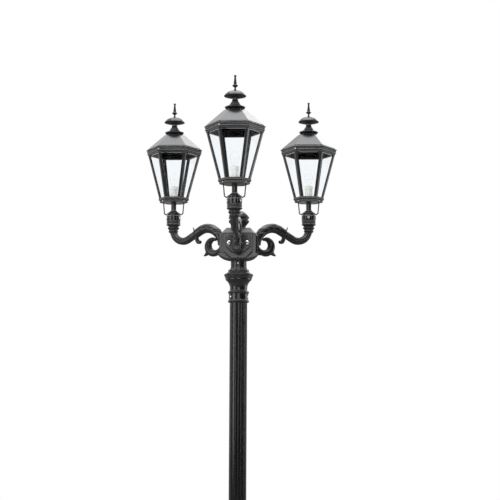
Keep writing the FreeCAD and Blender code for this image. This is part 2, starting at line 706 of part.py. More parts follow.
def hump_leaf(hump, touch):
    """Return the leaf round the hump: sleeve, midrib, slanting strands on both sides, spike and curl."""
    over, tube, sleeve = s.hump_radius.value, s.arm_tube.value, s.leaf_sleeve.value
    thick = s.leaf_strand.value
    skin = sleeve - 1.5
    outward = Vector(math.cos(touch), 0, math.sin(touch))
    onward = Vector(math.sin(touch), 0, -math.cos(touch))

    def spot(run, lift):
        return polar(hump, over, touch) + onward * run + outward * lift

    def on_sleeve(degrees, turn):
        angle, roll = math.radians(degrees), math.radians(turn)
        return polar(hump, over + skin * math.cos(roll), angle) + Vector(0, skin * math.sin(roll), 0)
    first = math.radians(LEAF_START)
    bends = 7
    wires = []
    for step in range(bends + 1):
        share = step / bends
        angle = first + (touch - first) * share
        radius = tube + 1.5 + (sleeve - tube - 1.5) * math.sin(math.pi / 2 * min(1, 2 * share))
        forward = Vector(math.sin(angle), 0, -math.cos(angle))
        wires.append(ring_wire(polar(hump, over, angle), forward, radius))
    wires.append(ring_wire(spot(LEAF_RUN, 0), onward, sleeve - 1))
    leaf = [Part.makeLoft(wires, True, False)]
    last = math.degrees(touch)
    ribs = [on_sleeve(LEAF_START + (last - LEAF_START) * share / 4, 0) for share in range(5)]
    leaf.append(strand(ribs, thick * 0.7, thick))
    for start in STRAND_STARTS:
        for side in (-1, 1):
            points = [on_sleeve(start - STRAND_RUN * step / 3, side * turn)
                      for step, turn in enumerate(STRAND_TURN)]
            leaf.append(strand(points, thick, thick * 0.5))
    leaf.append(horn([spot(*place) for place in SPIKE_PATH], [10, 7, 2.5]))
    curl = s.curl_radius.value
    leaf.append(horn([spot(*place) for place in CURL_PATH], [curl, curl - 1, curl, curl - 4]))
    leaf.append(Part.makeSphere(curl - 3, spot(*CURL_PATH[-1])))
    return leaf


def arm_shape():
    """Return one cast arm along +X: plate, root, reeded tube, scroll, leaves and rings."""
    path, hump, touch = arm_path()
    tube = s.arm_tube.value
    start = path.OrderedVertexes[0].Point
    section = reeded_section(tube, s.reed_depth.value, start, Vector(1, 0, 0), Vector(0, 1, 0))
    main = path.makePipeShell([section], True, True)
    eye = Vector(s.scroll_centre.value, 0, number(hub_seat + s.scroll_rise))
    bottom, top = number(hub_seat - s.plate_drop), number(hub_seat + s.hub_height)
    front = number(s.hub_face + s.plate_thickness)
    margin, thick = s.shield_margin.value, s.shield_thickness.value
    plate = arm_plate(bottom, top, s.plate_width.value, s.plate_corner.value, s.hub_face.value,
                      s.plate_thickness.value)
    shield = arm_plate(bottom + 3 * margin, top - margin, s.plate_width.value - margin,
                       s.plate_corner.value - margin / 2, front, thick)
    root = horn([Vector(front - 2, 0, eye.z - 18), Vector(front + 18, 0, eye.z - 14), start],
                [tube + 6, tube, tube - 1])
    ornament = scroll(eye) + scroll_leaves(eye, front) + hump_leaf(hump, touch)
    solid = main.multiFuse([plate, shield, root, arm_end()] + ornament)
    height = number(hub_seat + s.arm_bolt_height)
    for side in (-1, 1):
        spot = Vector(s.hub_face.value - 1, side * s.arm_bolt_offset.value, height)
        hole = Part.makeCylinder(s.arm_bolt_shank.value + 0.2, s.plate_thickness.value + thick + 2, spot,
                                 Vector(1, 0, 0))
        solid = solid.cut(hole)
    return solid.removeSplitter()


def arms():
    """The three arms are the same casting, turned to their faces of the hub."""
    shape = arm_shape()
    for name, angle, _ in LIGHTS:
        arm = doc.addObject("Part::Feature", f"{name}_arm")
        arm.Label = f"{name}_arm"
        arm.Shape = shape
        put(arm, turn=angle)
        nodes.append(arm)


def holder(name, x, y, turn):
    """Turned cup over the arm's spigot: flange, beads, barrel with raised panels, groove and conical top."""
    r = s.holder_radius
    cone = s.holder_barrel
    inner = s.stem_radius - s.stem_wall
    body = turned(f"{name}_holder", [
        (s.arm_spigot, 0), (r - 9, 0), (r + 2.5, 7), (r + 2.5, 12), (r - 1.5, 14), (r - 1.5, 18),
        Via(r + 1.5, 21.5), (r - 1.5, 25), (r - 1.5, 28), Via(r + 1.5, 31.5), (r - 1.5, 35), (r - 1.5, 38),
        (r, 39), (r, cone - groove_height - 4), (r - 4, cone - groove_height - 3), (r - 4, cone - 3),
        (r + 0.5, cone - 2), (r + 0.5, cone),
        (s.stem_radius + 5, holder_height - 3), (s.stem_radius + 5, holder_height),
        (s.stem_radius + s.fit_gap, holder_height), (s.stem_radius + s.fit_gap, holder_height - s.stem_depth),
        (inner, holder_height - s.stem_depth), (inner, s.arm_spigot_length + s.fit_gap),
        (s.arm_spigot, s.arm_spigot_length + s.fit_gap)],
        x, y, holder_seat, turn - 90)
    low = holder_screw_height - s.panel_height / 2
    high = holder_screw_height + s.panel_height / 2
    sketch = new_sketch(body, "XZ_Plane")
    draw(sketch, [(r - 3, low), (r + s.panel_rise, low), (r + s.panel_rise, high), (r - 3, high)])
    panel = revolve(body, "Revolution", "panel", sketch)
    panel.Angle = PANEL_SPREAD
    panel.Midplane = True
    around(body, "panels", [panel], ARMS)
    disc = bar(r - 6, boss_face, s.holder_screw * 2.4)
    boss = radial(body, "Revolution", "boss", disc, holder_screw_height)
    around(body, "bosses", [boss], ARMS)
    cutter = bar(s.arm_spigot - 1, boss_face + 1, s.holder_screw + 0.2)
    hole = radial(body, "Groove", "screw_hole", cutter, holder_screw_height)
    around(body, "screw_holes", [hole], ARMS)


def stem(name, x, y):
    """Tube from the holder, through the floor, up to the lamp holder."""
    length = s.stem_depth + s.stem_show + s.ring_height
    inner = s.stem_radius - s.stem_wall
    turned(f"{name}_stem", [(inner, 0), (s.stem_radius, 0), (s.stem_radius, length), (inner, length)],
           x, y, ring_seat - s.stem_show - s.stem_depth)


def side_rods(name, x, y):
    """Two bent stay rods from the base ring to the groove of the holder."""
    body = new_body(f"{name}_side_rods", x, y, ring_seat)
    low = -(s.stem_show + s.holder_cone + groove_height - 2)
    start = s.rod_depth
    path = new_sketch(body, "XZ_Plane")
    draw(path, [(s.rod_spread, start), (s.rod_spread, 0), (s.rod_spread - s.rod_lean, low + 11),
                (s.holder_radius - 4 + s.rod_radius / 2 + s.fit_gap, low)], closed=False)
    section = new_sketch(body, "XY_Plane", (0, 0, start))
    draw_circle(section, s.rod_radius, s.rod_spread)
    rod = add(body, "AdditivePipe", "rod", section)
    rod.Spine = path
    rod.Transition = "Round corner"
    around(body, "rods", [rod], 2)


def base_ring(name, x, y):
    """Stepped hexagonal ring with a rebate for the floor and holes for the stay rods."""
    body = new_body(f"{name}_base_ring", x, y, ring_seat)
    low = polygon(s.ring_radius - s.ring_step)
    high = polygon(s.ring_radius)
    half = s.ring_height / 2
    loft(body, "AdditiveLoft", "outside", [
        (low, 0), (low, half - 3), (high, half), (high, s.ring_height - 4),
        (polygon(s.ring_radius - 3), s.ring_height)])
    opening = polygon(s.ring_opening)
    rebate = polygon(s.floor_radius + s.fit_gap)
    loft(body, "SubtractiveLoft", "opening", [(opening, -1), (opening, s.ring_height + 1)])
    loft(body, "SubtractiveLoft", "rebate", [(rebate, -1), (rebate, s.floor_thickness)])
    sketch = new_sketch(body, "XY_Plane")
    draw_circle(sketch, s.rod_radius + s.fit_gap / 2, s.rod_spread)
    rod_hole = extrude(body, "Pocket", "rod_hole", sketch, s.rod_depth + s.fit_gap)
    rod_hole.Reversed = True
    around(body, "rod_holes", [rod_hole], 2)
    face = (s.ring_radius - s.ring_step) * COS30
    cutter = bar(face - frame_screw_length, face + 1, s.frame_screw + 0.1)
    hole = radial(body, "Groove", "screw_hole", cutter, ring_screw_height, turn=-30)
    around(body, "screw_holes", [hole], ARMS)


def floor(name, x, y):
    """Hexagonal floor plate round the stem and the stay rods."""
    body = new_body(f"{name}_floor", x, y, ring_seat)
    sketch = new_sketch(body, "XY_Plane")
    draw(sketch, polygon(s.floor_radius))
    draw_circle(sketch, s.stem_radius + s.fit_gap)
    for side in (-1, 1):
        draw_circle(sketch, s.rod_radius + s.fit_gap, s.rod_spread * side)
    extrude(body, "Pad", "plate", sketch, s.floor_thickness)


def corner_posts(name, x, y):
    """Six leaning glazing bars with a wing before each pane and a web between panes."""
    body = new_body(f"{name}_corner_posts", x, y, frame_seat)

    def section(corner):
        inside = corner - s.bar_thickness / COS30
        edge, end = corner - s.bar_wing / 2, s.bar_wing * COS30
        half = [(edge, end), (edge - s.bar_thickness * COS30, end - s.bar_thickness / 2),
                (inside - s.bar_web * math.tan(math.radians(30)), s.bar_web),
                (inside - s.bar_depth, s.bar_web)]
        return [(corner, 0)] + half + [(px, -py) for px, py in reversed(half)]
    post = loft(body, "AdditiveLoft", "post", [
        (section(s.frame_foot), 0), (section(s.frame_head), s.frame_height)])
    around(body, "posts", [post], SIDES)


def glass_panes(name, x, y):
    """Six leaning panes behind the glazing bars' wings."""
    body = new_body(f"{name}_glass_panes", x, y, frame_seat)
    slope = (s.frame_head - s.frame_foot) / s.frame_height

    def section(height):
        front = (s.frame_foot + slope * height) * COS30 - s.bar_thickness - s.fit_gap
        back = front - s.glass_thickness
        half = back * math.tan(math.radians(30)) - s.bar_web / COS30 - s.fit_gap * 2
        return [(-half, back), (half, back), (half, front), (-half, front)], height
    pane = loft(body, "AdditiveLoft", "pane", [section(s.fit_gap), section(s.frame_height - s.fit_gap)])
    around(body, "panes", [pane], SIDES)


def hinge_sketch(body, start, outline):
    """Start a sketch across the hinge axis, drawn as distance behind the lantern axis and height."""
    sketch = new_sketch(body, "YZ_Plane", (0, 0, start))
    draw(sketch, outline)
    return sketch


def eave_ring(name, x, y):
    """Hexagonal eave with two raised mouldings, a lip and two hinge ears behind."""
    body = new_body(f"{name}_eave_ring", x, y, eave_seat)
    foot, bead, lip = s.eave_radius, eave_bead, eave_lip
    groove = foot + s.eave_step * 0.3
    top = s.eave_height
    outline = [(foot - 4, 0), (foot, 4), (foot, 12), (bead, 14), (bead, 20), (groove, 22), (groove, 24),
               (bead, 26), (bead, 32), (bead - 3, 34), (lip - 2, top - 9), (lip, top - 7), (lip, top - 3),
               (lip - 5, top)]
    loft(body, "AdditiveLoft", "outside", [(polygon(radius), height) for radius, height in outline])
    opening = polygon(s.eave_opening)
    loft(body, "SubtractiveLoft", "opening", [(opening, -1), (opening, top + 1)])
    axis = top + s.fit_gap + hinge_rise
    k = s.knuckle_radius
    sketch = hinge_sketch(body, s.knuckle_width / 2 + s.ear_gap, [
        (hinge_y - k - s.hinge_offset, top - 5), (hinge_y, axis - k), Via(hinge_y + k, axis),
        (hinge_y, axis + k), (hinge_y - k, axis), (hinge_y - k - s.hinge_offset, top)])
    draw_circle(sketch, s.pin_radius + s.pin_gap, hinge_y, axis)
    ear = extrude(body, "Pad", "ear", sketch, s.ear_width)
    mirror = body.newObject("PartDesign::Mirrored", f"{body.Name}_ears")
    mirror.Originals = [ear]
    mirror.MirrorPlane = (origin_item(body, "YZ_Plane"), [""])
    body.Tip = mirror
    face = bead * COS30
    cutter = bar(face - frame_screw_length, face + 1, s.frame_screw + 0.1)
    radial(body, "Groove", "screw_hole", cutter, eave_screw_height, turn=-90, shift=-eave_screw_side)


def roof(name, x, y):
    """Six-sided hollow roof with a vent hole and the hinge's middle knuckle."""
    body = new_body(f"{name}_roof", x, y, roof_seat)
    rim = 5
    loft(body, "AdditiveLoft", "outside", [
        (polygon(s.roof_radius), 0), (polygon(s.roof_radius), rim), (polygon(s.roof_top), s.roof_height)])
    wall = s.roof_wall * 1.6
    loft(body, "SubtractiveLoft", "inside", [
        (polygon(s.roof_radius - wall), 0), (polygon(s.roof_radius - wall), rim - 2),
        (polygon(s.roof_top - wall), s.roof_height - s.roof_wall)])
    k = s.knuckle_radius
    face = s.roof_radius * COS30
    sketch = hinge_sketch(body, 0, [
        (face - 5, hinge_rise - k), (hinge_y, hinge_rise - k), Via(hinge_y + k, hinge_rise),
        (hinge_y, hinge_rise + k), (face - 16, hinge_rise + k)])
    draw_circle(sketch, s.pin_radius + s.pin_gap, hinge_y, hinge_rise)
    extrude(body, "Pad", "knuckle", sketch, s.knuckle_width, midplane=True)
    vent = new_sketch(body, "XY_Plane")
    draw_circle(vent, s.vent_radius)
    hole = extrude(body, "Pocket", "vent", vent, s.roof_height + 1)
    hole.Reversed = True


def hinge_pin(name, x, y):
    """Pin with a head at each end, outside the ears."""
    half = s.knuckle_width / 2 + s.ear_gap + s.ear_width + s.ear_gap / 2
    body = new_body(f"{name}_hinge_pin", x, y + hinge_y, roof_seat + hinge_rise)
    head = s.pin_radius + 2
    outline = [(-half - 3, 0), (half + 3, 0), (half + 3, head - 1), (half + 2, head), (half, head),
               (half, s.pin_radius), (-half, s.pin_radius), (-half, head), (-half - 2, head),
               (-half - 3, head - 1)]
    radial(body, "Revolution", "pin", outline, 0)


def cowl(name, x, y):
    """Turned vent cowl: a spigot in the roof, a drooping brim, a cone with two beads, a band and a neck."""
    spigot = s.vent_radius - s.fit_gap
    root = s.collar_rise + s.brim_thickness * 1.1
    edge = root - s.brim_drop
    low = edge - s.brim_thickness
    cone = s.collar_rise + s.cowl_cone + 4
    top = s.collar_rise + s.cowl_cone + s.vent_neck_height
    hole = s.stud_radius + s.fit_gap
    wall, neck = s.collar_wall, s.vent_neck
    slope = (wall - neck - 4) / (cone - root)
    first, second = root + 5, cone - 6

    def bead(height):
        radius = wall - slope * (height - root)
        return [(radius + 2 * slope, height - 2), Via(radius + 2.5, height), (radius - 2 * slope, height + 2)]
    turned(f"{name}_cowl", [
        (0, -s.roof_wall), (spigot, -s.roof_wall), (spigot, 0), (wall, 0), (wall, s.collar_rise - 1),
        (s.brim_radius - 6, low + 1), (s.brim_radius, edge), (s.brim_radius - 1, edge + 1), (wall, root),
        *bead(first), *bead(second), (neck + 4, cone), (neck + 1, cone + 14), (neck - 1, cone + 15),
        (neck, top), (hole, top), (hole, top - s.stud_length), (0, top - s.stud_length)], x, y, cowl_seat)


def cap(name, x, y):
    """Turned mushroom cap: a shallow bowl below a full dome, pierced for the spike's stud."""
    dome = s.cap_skirt + s.cap_dome
    hole = s.stud_radius + s.fit_gap
    rim = s.cap_radius
    turned(f"{name}_cap", [
        (hole, 0), (s.vent_neck + 2, 0), Via(rim * 0.66, s.cap_skirt * 0.42), (rim - 2, s.cap_skirt - 3),
        Via(rim, s.cap_skirt), (rim - 1.5, s.cap_skirt + 3), Via(rim * 0.69, s.cap_skirt + s.cap_dome * 0.68),
        (s.finial_foot, dome), (hole, dome)],
        x, y, cap_seat)


def finial(name, x, y):
    """Turned spike: stud, foot, disc, long tapering spike and flattened ball."""
    top = s.finial_height
    disc = top * 0.32
    ball = s.finial_ball
    neck = ball * 0.62
    stud = -s.cap_skirt - s.cap_dome - s.stud_length + s.fit_gap * 2
    turned(f"{name}_finial", [
        (0, stud), (s.stud_radius, stud), (s.stud_radius, 0),
        (s.finial_foot, 0), Via(neck + 1, disc * 0.3), (neck, disc * 0.62), (s.finial_disc - 2, disc - 3),
        Via(s.finial_disc, disc), (s.finial_disc - 2, disc + 3), (neck * 2.1, disc + 5),
        (neck, top - ball * 1.5), Via(ball, top - ball * 0.75), (ball * 0.5, top), (0, top)],
        x, y, finial_seat)


def lamp_holder(name, x, y):
    """Porcelain lamp holder with a wide rim and a bore for the bulb's cap."""
    rim = s.socket_height
    top = rim + s.socket_rim_height
    bore = s.lamp_cap + s.fit_gap
    bottom = top - s.lamp_cap_length - s.fit_gap
    turned(f"{name}_lamp_holder", [
        (0, 0), (s.socket_radius, 0), (s.socket_radius, rim - 4), (s.socket_rim - 1, rim),
        (s.socket_rim, rim + 3), (s.socket_rim, top - 6), Via(s.socket_rim - 2, top - 2),
        (s.socket_rim - 6, top), (bore, top), (bore, bottom), (0, bottom)], x, y, lamp_seat)


def bulb(name, x, y):
    """Pear-shaped bulb whose cap stands in the lamp holder."""
    top = s.lamp_height
    crown = top - s.lamp_radius
    turned(f"{name}_bulb", [
        (0, -s.lamp_cap_length), (s.lamp_cap, -s.lamp_cap_length), (s.lamp_cap, 2),
        (s.lamp_cap + 2, 8), Via(s.lamp_radius * 0.78, crown * 0.55), (s.lamp_radius, crown),
        DOME_UP, (0, top)],
        x, y, lamp_seat + s.socket_height + s.socket_rim_height)


def group(label, bodies):
    """Join like fasteners into one node of separate solids."""
    compound = doc.addObject("Part::Compound", label)
    compound.Label = label
    compound.Links = bodies
    nodes.append(compound)


def screws(label, outline, height, count, x=0, y=0, z=0, turn=0, side=0):
    """Make a ring of like screws as one body."""
    body = new_body(label, x, y, z, turn, node=False)
    one = radial(body, "Revolution", "screw", outline, height, side)
    if count > 1:
        around(body, "screws", [one], count)
    return body


def clamp_screws(name, x, y, turn):
    """Three screws that clamp a holder on its arm."""
    outline = screw_outline(boss_face, s.holder_screw * 1.7, s.holder_screw, boss_face - s.arm_spigot)
    return [screws(f"{name}_clamp", outline, holder_screw_height, ARMS, x, y, holder_seat, turn - 90)]


def frame_screws(name, x, y):
    """Three screws in the base ring and one at the eave's front corner."""
    low = (s.ring_radius - s.ring_step) * COS30
    high = eave_bead * COS30
    head = s.frame_screw * 1.8
    ring = screws(f"{name}_ring_screws", screw_outline(low, head, s.frame_screw, frame_screw_length - 0.5),
                  ring_screw_height, ARMS, x, y, ring_seat, -30)
    eave = screws(f"{name}_eave_screw", screw_outline(high, head, s.frame_screw, frame_screw_length - 0.5),
                  eave_screw_height, 1, x, y, eave_seat, -90, eave_screw_side)
    return [ring, eave]


def post_screws():
    """Set screws of the capital's band and of the neck, and the bolts of the arms' plates."""
    head = s.holder_screw * 1.8
    outline = screw_outline(s.band_radius, head, s.holder_screw, s.band_radius - s.shaft_bore)
    band = screws("band_screws", outline, bead_height + s.band_height / 2, ARMS, z=capital_seat,
                  turn=CAPITAL_TURN)
    outline = screw_outline(s.neck_radius, head, s.holder_screw, s.neck_radius - s.neck_bore)
    neck = screws("neck_screws", outline, s.neck_height * 0.6, ARMS, z=neck_seat, turn=FIRST_ARM)
    group("capital_bolts", [band, neck])
    plate = s.hub_face + s.plate_thickness + s.shield_thickness
    outline = screw_outline(plate, s.arm_bolt_head, s.arm_bolt_shank, s.arm_bolt_length)
    rows = []
    for side in (-s.arm_bolt_offset, s.arm_bolt_offset):
        rows.append(screws("arm_bolt_row", outline, s.arm_bolt_height, ARMS, z=hub_seat, turn=FIRST_ARM,
                           side=side))
    group("arm_bolts", rows)


def lantern(name, x, y, turn):
    """Build the pieces of one lantern on the end of its arm."""
    holder(name, x, y, turn)
    for piece in (stem, side_rods, base_ring, floor, corner_posts, glass_panes, eave_ring, roof, hinge_pin,
                  cowl, cap, finial, lamp_holder, bulb):
        piece(name, x, y)


post_base()
fluted_shaft()
shaft_capital()
hub_dish()
hub_body()
hub_finial()
arms()
post_screws()
clamps, frames = [], []
for light, direction, holder_turn in LIGHTS:
    east = s.arm_reach * math.cos(math.radians(direction))
    north = s.arm_reach * math.sin(math.radians(direction))
    lantern(light, east, north, holder_turn)
    clamps += clamp_screws(light, east, north, holder_turn)
    frames += frame_screws(light, east, north)
group("holder_screws", clamps)
group("frame_screws", frames)
doc.recompute()

os.makedirs("parts", exist_ok=True)
for item in doc.Objects:
    if "Invalid" in item.State or "Error" in item.State:
        raise RuntimeError(f"{item.Label} did not build: {item.State}")
for node in nodes:
    if node.Shape.isNull() or not node.Shape.isValid():
        raise RuntimeError(f"{node.Label} has no sound shape")
    node.Shape.exportStep(f"parts/{node.Label}.step")
    print(node.Label, len(node.Shape.Solids), round(node.Shape.Volume / 1000), "cm3")
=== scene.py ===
"""Looks of the three-light garden lamp post.

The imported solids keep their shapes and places. This script gives each of them its finish, fits hollow bulbs
with their filaments, and sets up the studio and the camera. Lengths are in metres and angles in degrees.
"""

import logging
import math
from dataclasses import dataclass, field, replace
from enum import Enum
from functools import cache

import bmesh
import bpy
from mathutils import Matrix, Vector


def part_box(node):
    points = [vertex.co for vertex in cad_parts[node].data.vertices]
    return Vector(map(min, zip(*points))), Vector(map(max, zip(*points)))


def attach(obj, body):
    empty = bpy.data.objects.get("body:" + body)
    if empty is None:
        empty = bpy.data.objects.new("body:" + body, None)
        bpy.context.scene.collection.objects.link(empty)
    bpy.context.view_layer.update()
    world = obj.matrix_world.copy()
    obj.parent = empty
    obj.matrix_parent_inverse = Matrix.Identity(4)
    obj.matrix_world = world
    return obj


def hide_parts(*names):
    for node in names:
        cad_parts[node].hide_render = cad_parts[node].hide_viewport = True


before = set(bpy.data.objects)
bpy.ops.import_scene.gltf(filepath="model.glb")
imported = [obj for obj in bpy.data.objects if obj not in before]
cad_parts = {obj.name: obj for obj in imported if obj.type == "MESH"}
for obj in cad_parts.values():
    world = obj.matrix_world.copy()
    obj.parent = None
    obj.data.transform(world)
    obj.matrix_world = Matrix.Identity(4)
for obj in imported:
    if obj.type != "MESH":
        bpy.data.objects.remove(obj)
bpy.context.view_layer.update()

LOG = logging.getLogger("lamp_post")
FIXED_BODY = "post"
MERGE_DISTANCE = 1e-6
LEVEL_TURN = 90.0

Colour = tuple[float, float, float]
Spot = tuple[float, float, float]
Range = tuple[float, float]
Points = tuple[tuple[float, float], ...]
Feed = bpy.types.NodeSocket | float | tuple[float, ...]


class Side(Enum):
    """The three lights, by the prefix of their nodes."""

    LEFT = "left"
    RIGHT = "right"
    FRONT = "front"

    def node(self, piece: str) -> str:
        """Return the name of one of this light's pieces."""
        return f"{self.value}_{piece}"


class Socket(Enum):
    """Kinds of sockets that the effect groups have."""

    NUMBER = "NodeSocketFloat"
    VECTOR = "NodeSocketVector"


class Graph:
    """Places and links nodes in one shader tree."""

    def __init__(self, tree: bpy.types.NodeTree) -> None:
        """Keep the tree that the calls work on."""
        self.tree = tree

    def add(self, kind: str, **settings: object) -> bpy.types.Node:
        """Place a node.

        Args:
            kind: the node's type, without its ShaderNode prefix.
            settings: properties of the node, by name.

        Returns:
            The new node.
        """
        node = self.tree.nodes.new("ShaderNode" + kind)
        for name, value in settings.items():
            setattr(node, name, value)
        return node

    def link(self, source: bpy.types.NodeSocket, target: bpy.types.NodeSocket) -> None:
        """Join an output to an input."""
        self.tree.links.new(source, target)

    def feed(self, value: Feed, target: bpy.types.NodeSocket) -> None:
        """Link an output to an input, or set a plain value on it.

        Args:
            value: the output, or the number or colour.
            target: the input.
        """
        if isinstance(value, bpy.types.NodeSocket):
            self.link(value, target)
        else:
            target.default_value = value

    def noise(self, place: bpy.types.NodeSocket, scale: Feed, detail: float) -> bpy.types.NodeSocket:
        """Place a noise texture.

        Args:
            place: the coordinates that it reads.
            scale: cells in a metre, or the output that gives them.
            detail: octaves.

        Returns:
            The noise.
        """
        node = self.add("TexNoise")
        self.link(place, node.inputs["Vector"])
        self.feed(scale, node.inputs["Scale"])
        node.inputs["Detail"].default_value = detail
        return node.outputs["Fac"]

    def spread(self, source: bpy.types.NodeSocket, low: float = 0.0, high: float = 1.0,
               span: Range = (0.0, 1.0)) -> bpy.types.NodeSocket:
        """Map a value from one range to another, and hold it there.

        Args:
            source: the value.
            low: result at the start of the range.
            high: result at its end.
            span: start and end of the range; the start may be the larger.

        Returns:
            The mapped value.
        """
        node = self.add("MapRange")
        for name, value in zip(("From Min", "From Max", "To Min", "To Max"), (*span, low, high)):
            node.inputs[name].default_value = value
        self.link(source, node.inputs["Value"])
        return node.outputs["Result"]

    def calculate(self, operation: str, *values: Feed) -> bpy.types.NodeSocket:
        """Place a Math node.

        Args:
            operation: what it works out.
            values: numbers or outputs, in the order of the node's inputs.

        Returns:
            The result.
        """
        node = self.add("Math", operation=operation)
        for value, target in zip(values, node.inputs):
            self.feed(value, target)
        return node.outputs["Value"]

    def upward(self, vector: bpy.types.NodeSocket) -> bpy.types.NodeSocket:
        """Take the upward part of a vector.

        Args:
            vector: the vector.

        Returns:
            Its Z.
        """
        node = self.add("SeparateXYZ")
        self.link(vector, node.inputs["Vector"])
        return node.outputs["Z"]

    def blend(self, share: bpy.types.NodeSocket, first: Colour | bpy.types.NodeSocket,
              second: Colour) -> bpy.types.NodeSocket:
        """Mix two colours.

        Args:
            share: how much of the second colour shows.
            first: a colour or the socket that gives it.
            second: the other colour.

        Returns:
            The mixed colour.
        """
        node = self.add("Mix", data_type="RGBA")
        self.link(share, node.inputs["Factor"])
        for label, colour in (("A", first), ("B", second)):
            self.feed((*colour, 1) if isinstance(colour, tuple) else colour, node.inputs[label])
        return node.outputs["Result"]

    def bump(self, height: bpy.types.NodeSocket, distance: float,
             normal: bpy.types.NodeSocket | None = None) -> bpy.types.NodeSocket:
        """Place a Bump node.

        Args:
            height: the relief.
            distance: what a relief of 1 stands for.
            normal: the normal that it bends, where that isn't the surface's own.

        Returns:
            The bent normal.
        """
        node = self.add("Bump")
        node.inputs["Distance"].default_value = distance
        self.link(height, node.inputs["Height"])
        if normal is not None:
            self.link(normal, node.inputs["Normal"])
        return node.outputs["Normal"]


class Effect:
    """A shader node group that is built once and placed in several materials.

    Attributes:
        name: the group's name.
        takes: its inputs.
        gives: its outputs.
    """

    name: str = ""
    takes: tuple[tuple[str, Socket], ...] = ()
    gives: tuple[tuple[str, Socket], ...] = ()

    @classmethod
    def wire(cls, graph: Graph, entry: bpy.types.Node, leave: bpy.types.Node) -> None:
        """Fill the group, between its entry and its leaving node."""
        raise NotImplementedError

    @classmethod
    def tree(cls) -> bpy.types.NodeTree:
        """Build the group on the first call.

        Returns:
            The group's tree.
        """
        found = bpy.data.node_groups.get(cls.name)
        if found:
            return found
        tree = bpy.data.node_groups.new(cls.name, "ShaderNodeTree")
        for way, sockets in (("INPUT", cls.takes), ("OUTPUT", cls.gives)):
            for label, kind in sockets:
                tree.interface.new_socket(label, in_out=way, socket_type=kind.value)
        entry = tree.nodes.new("NodeGroupInput")
        leave = tree.nodes.new("NodeGroupOutput")
        cls.wire(Graph(tree), entry, leave)
        return tree

    @classmethod
    def place(cls, graph: Graph, **values: float) -> bpy.types.bpy_prop_collection:
        """Place the group in a material.

        Args:
            graph: the material's nodes.
            values: the group's inputs, by name.

        Returns:
            The outputs of the group node.
        """
        node = graph.add("Group")
        node.node_tree = cls.tree()
        for label, value in values.items():
            node.inputs[label].default_value = value
        return node.outputs


class CastSkin(Effect):
    """The skin of a painted casting: slow swell under a fine grain.

    Attributes:
        grain_detail: octaves of the grain.
        grain_share: height of the grain, against the swell.
        swell_detail: octaves of the swell.
        tone_span: swell from the darkest tone to the lightest.
    """

    name = "cast_skin"
    takes = (("Grain", Socket.NUMBER), ("Swell", Socket.NUMBER))
    gives = (("Height", Socket.NUMBER), ("Tone", Socket.NUMBER))
    grain_detail: float = 3.0
    grain_share: float = 0.05
    swell_detail: float = 2.0
    tone_span: Range = (0.3, 0.7)

    @classmethod
    def wire(cls, graph: Graph, entry: bpy.types.Node, leave: bpy.types.Node) -> None:
        """Add a fine noise to a slow one.

        Args:
            graph: the group's nodes.
            entry: the node that gives the inputs.
            leave: the node that takes the outputs.
        """
        place = graph.add("TexCoord").outputs["Object"]
        grain = graph.noise(place, entry.outputs["Grain"], cls.grain_detail)
        swell = graph.noise(place, entry.outputs["Swell"], cls.swell_detail)
        height = graph.calculate("MULTIPLY_ADD", grain, cls.grain_share, swell)
        graph.link(height, leave.inputs["Height"])
        graph.link(graph.spread(swell, span=cls.tone_span), leave.inputs["Tone"])


class SoftEdge(Effect):
    """Rounds the sharp edges for the light, and says where those that face up are.

    Attributes:
        samples: rays that look for an edge.
        turn_span: cosine of the turn from the true normal, from no edge to a full one.
        upward_span: upward part of the rounded normal, from no edge to a full one.
    """

    name = "soft_edge"
    takes = (("Radius", Socket.NUMBER),)
    gives = (("Normal", Socket.VECTOR), ("Edge", Socket.NUMBER))
    samples: int = 6
    turn_span: Range = (0.99, 0.8)
    upward_span: Range = (-0.1, 0.3)

    @classmethod
    def wire(cls, graph: Graph, entry: bpy.types.Node, leave: bpy.types.Node) -> None:
        """Compare the rounded normal with the true one, and drop the edges that face down.

        Args:
            graph: the group's nodes.
            entry: the node that gives the inputs.
            leave: the node that takes the outputs.
        """
        bevel = graph.add("Bevel", samples=cls.samples)
        graph.link(entry.outputs["Radius"], bevel.inputs["Radius"])
        soft = bevel.outputs["Normal"]
        graph.link(soft, leave.inputs["Normal"])
        turn = graph.add("VectorMath", operation="DOT_PRODUCT")
        graph.link(soft, turn.inputs[0])
        graph.link(graph.add("NewGeometry").outputs["Normal"], turn.inputs[1])
        local = graph.add("VectorTransform", vector_type="NORMAL", convert_from="WORLD", convert_to="OBJECT")
        graph.link(soft, local.inputs["Vector"])
        turned = graph.spread(turn.outputs["Value"], span=cls.turn_span)
        raised = graph.spread(graph.upward(local.outputs["Vector"]), span=cls.upward_span)
        graph.link(graph.calculate("MULTIPLY", turned, raised), leave.inputs["Edge"])


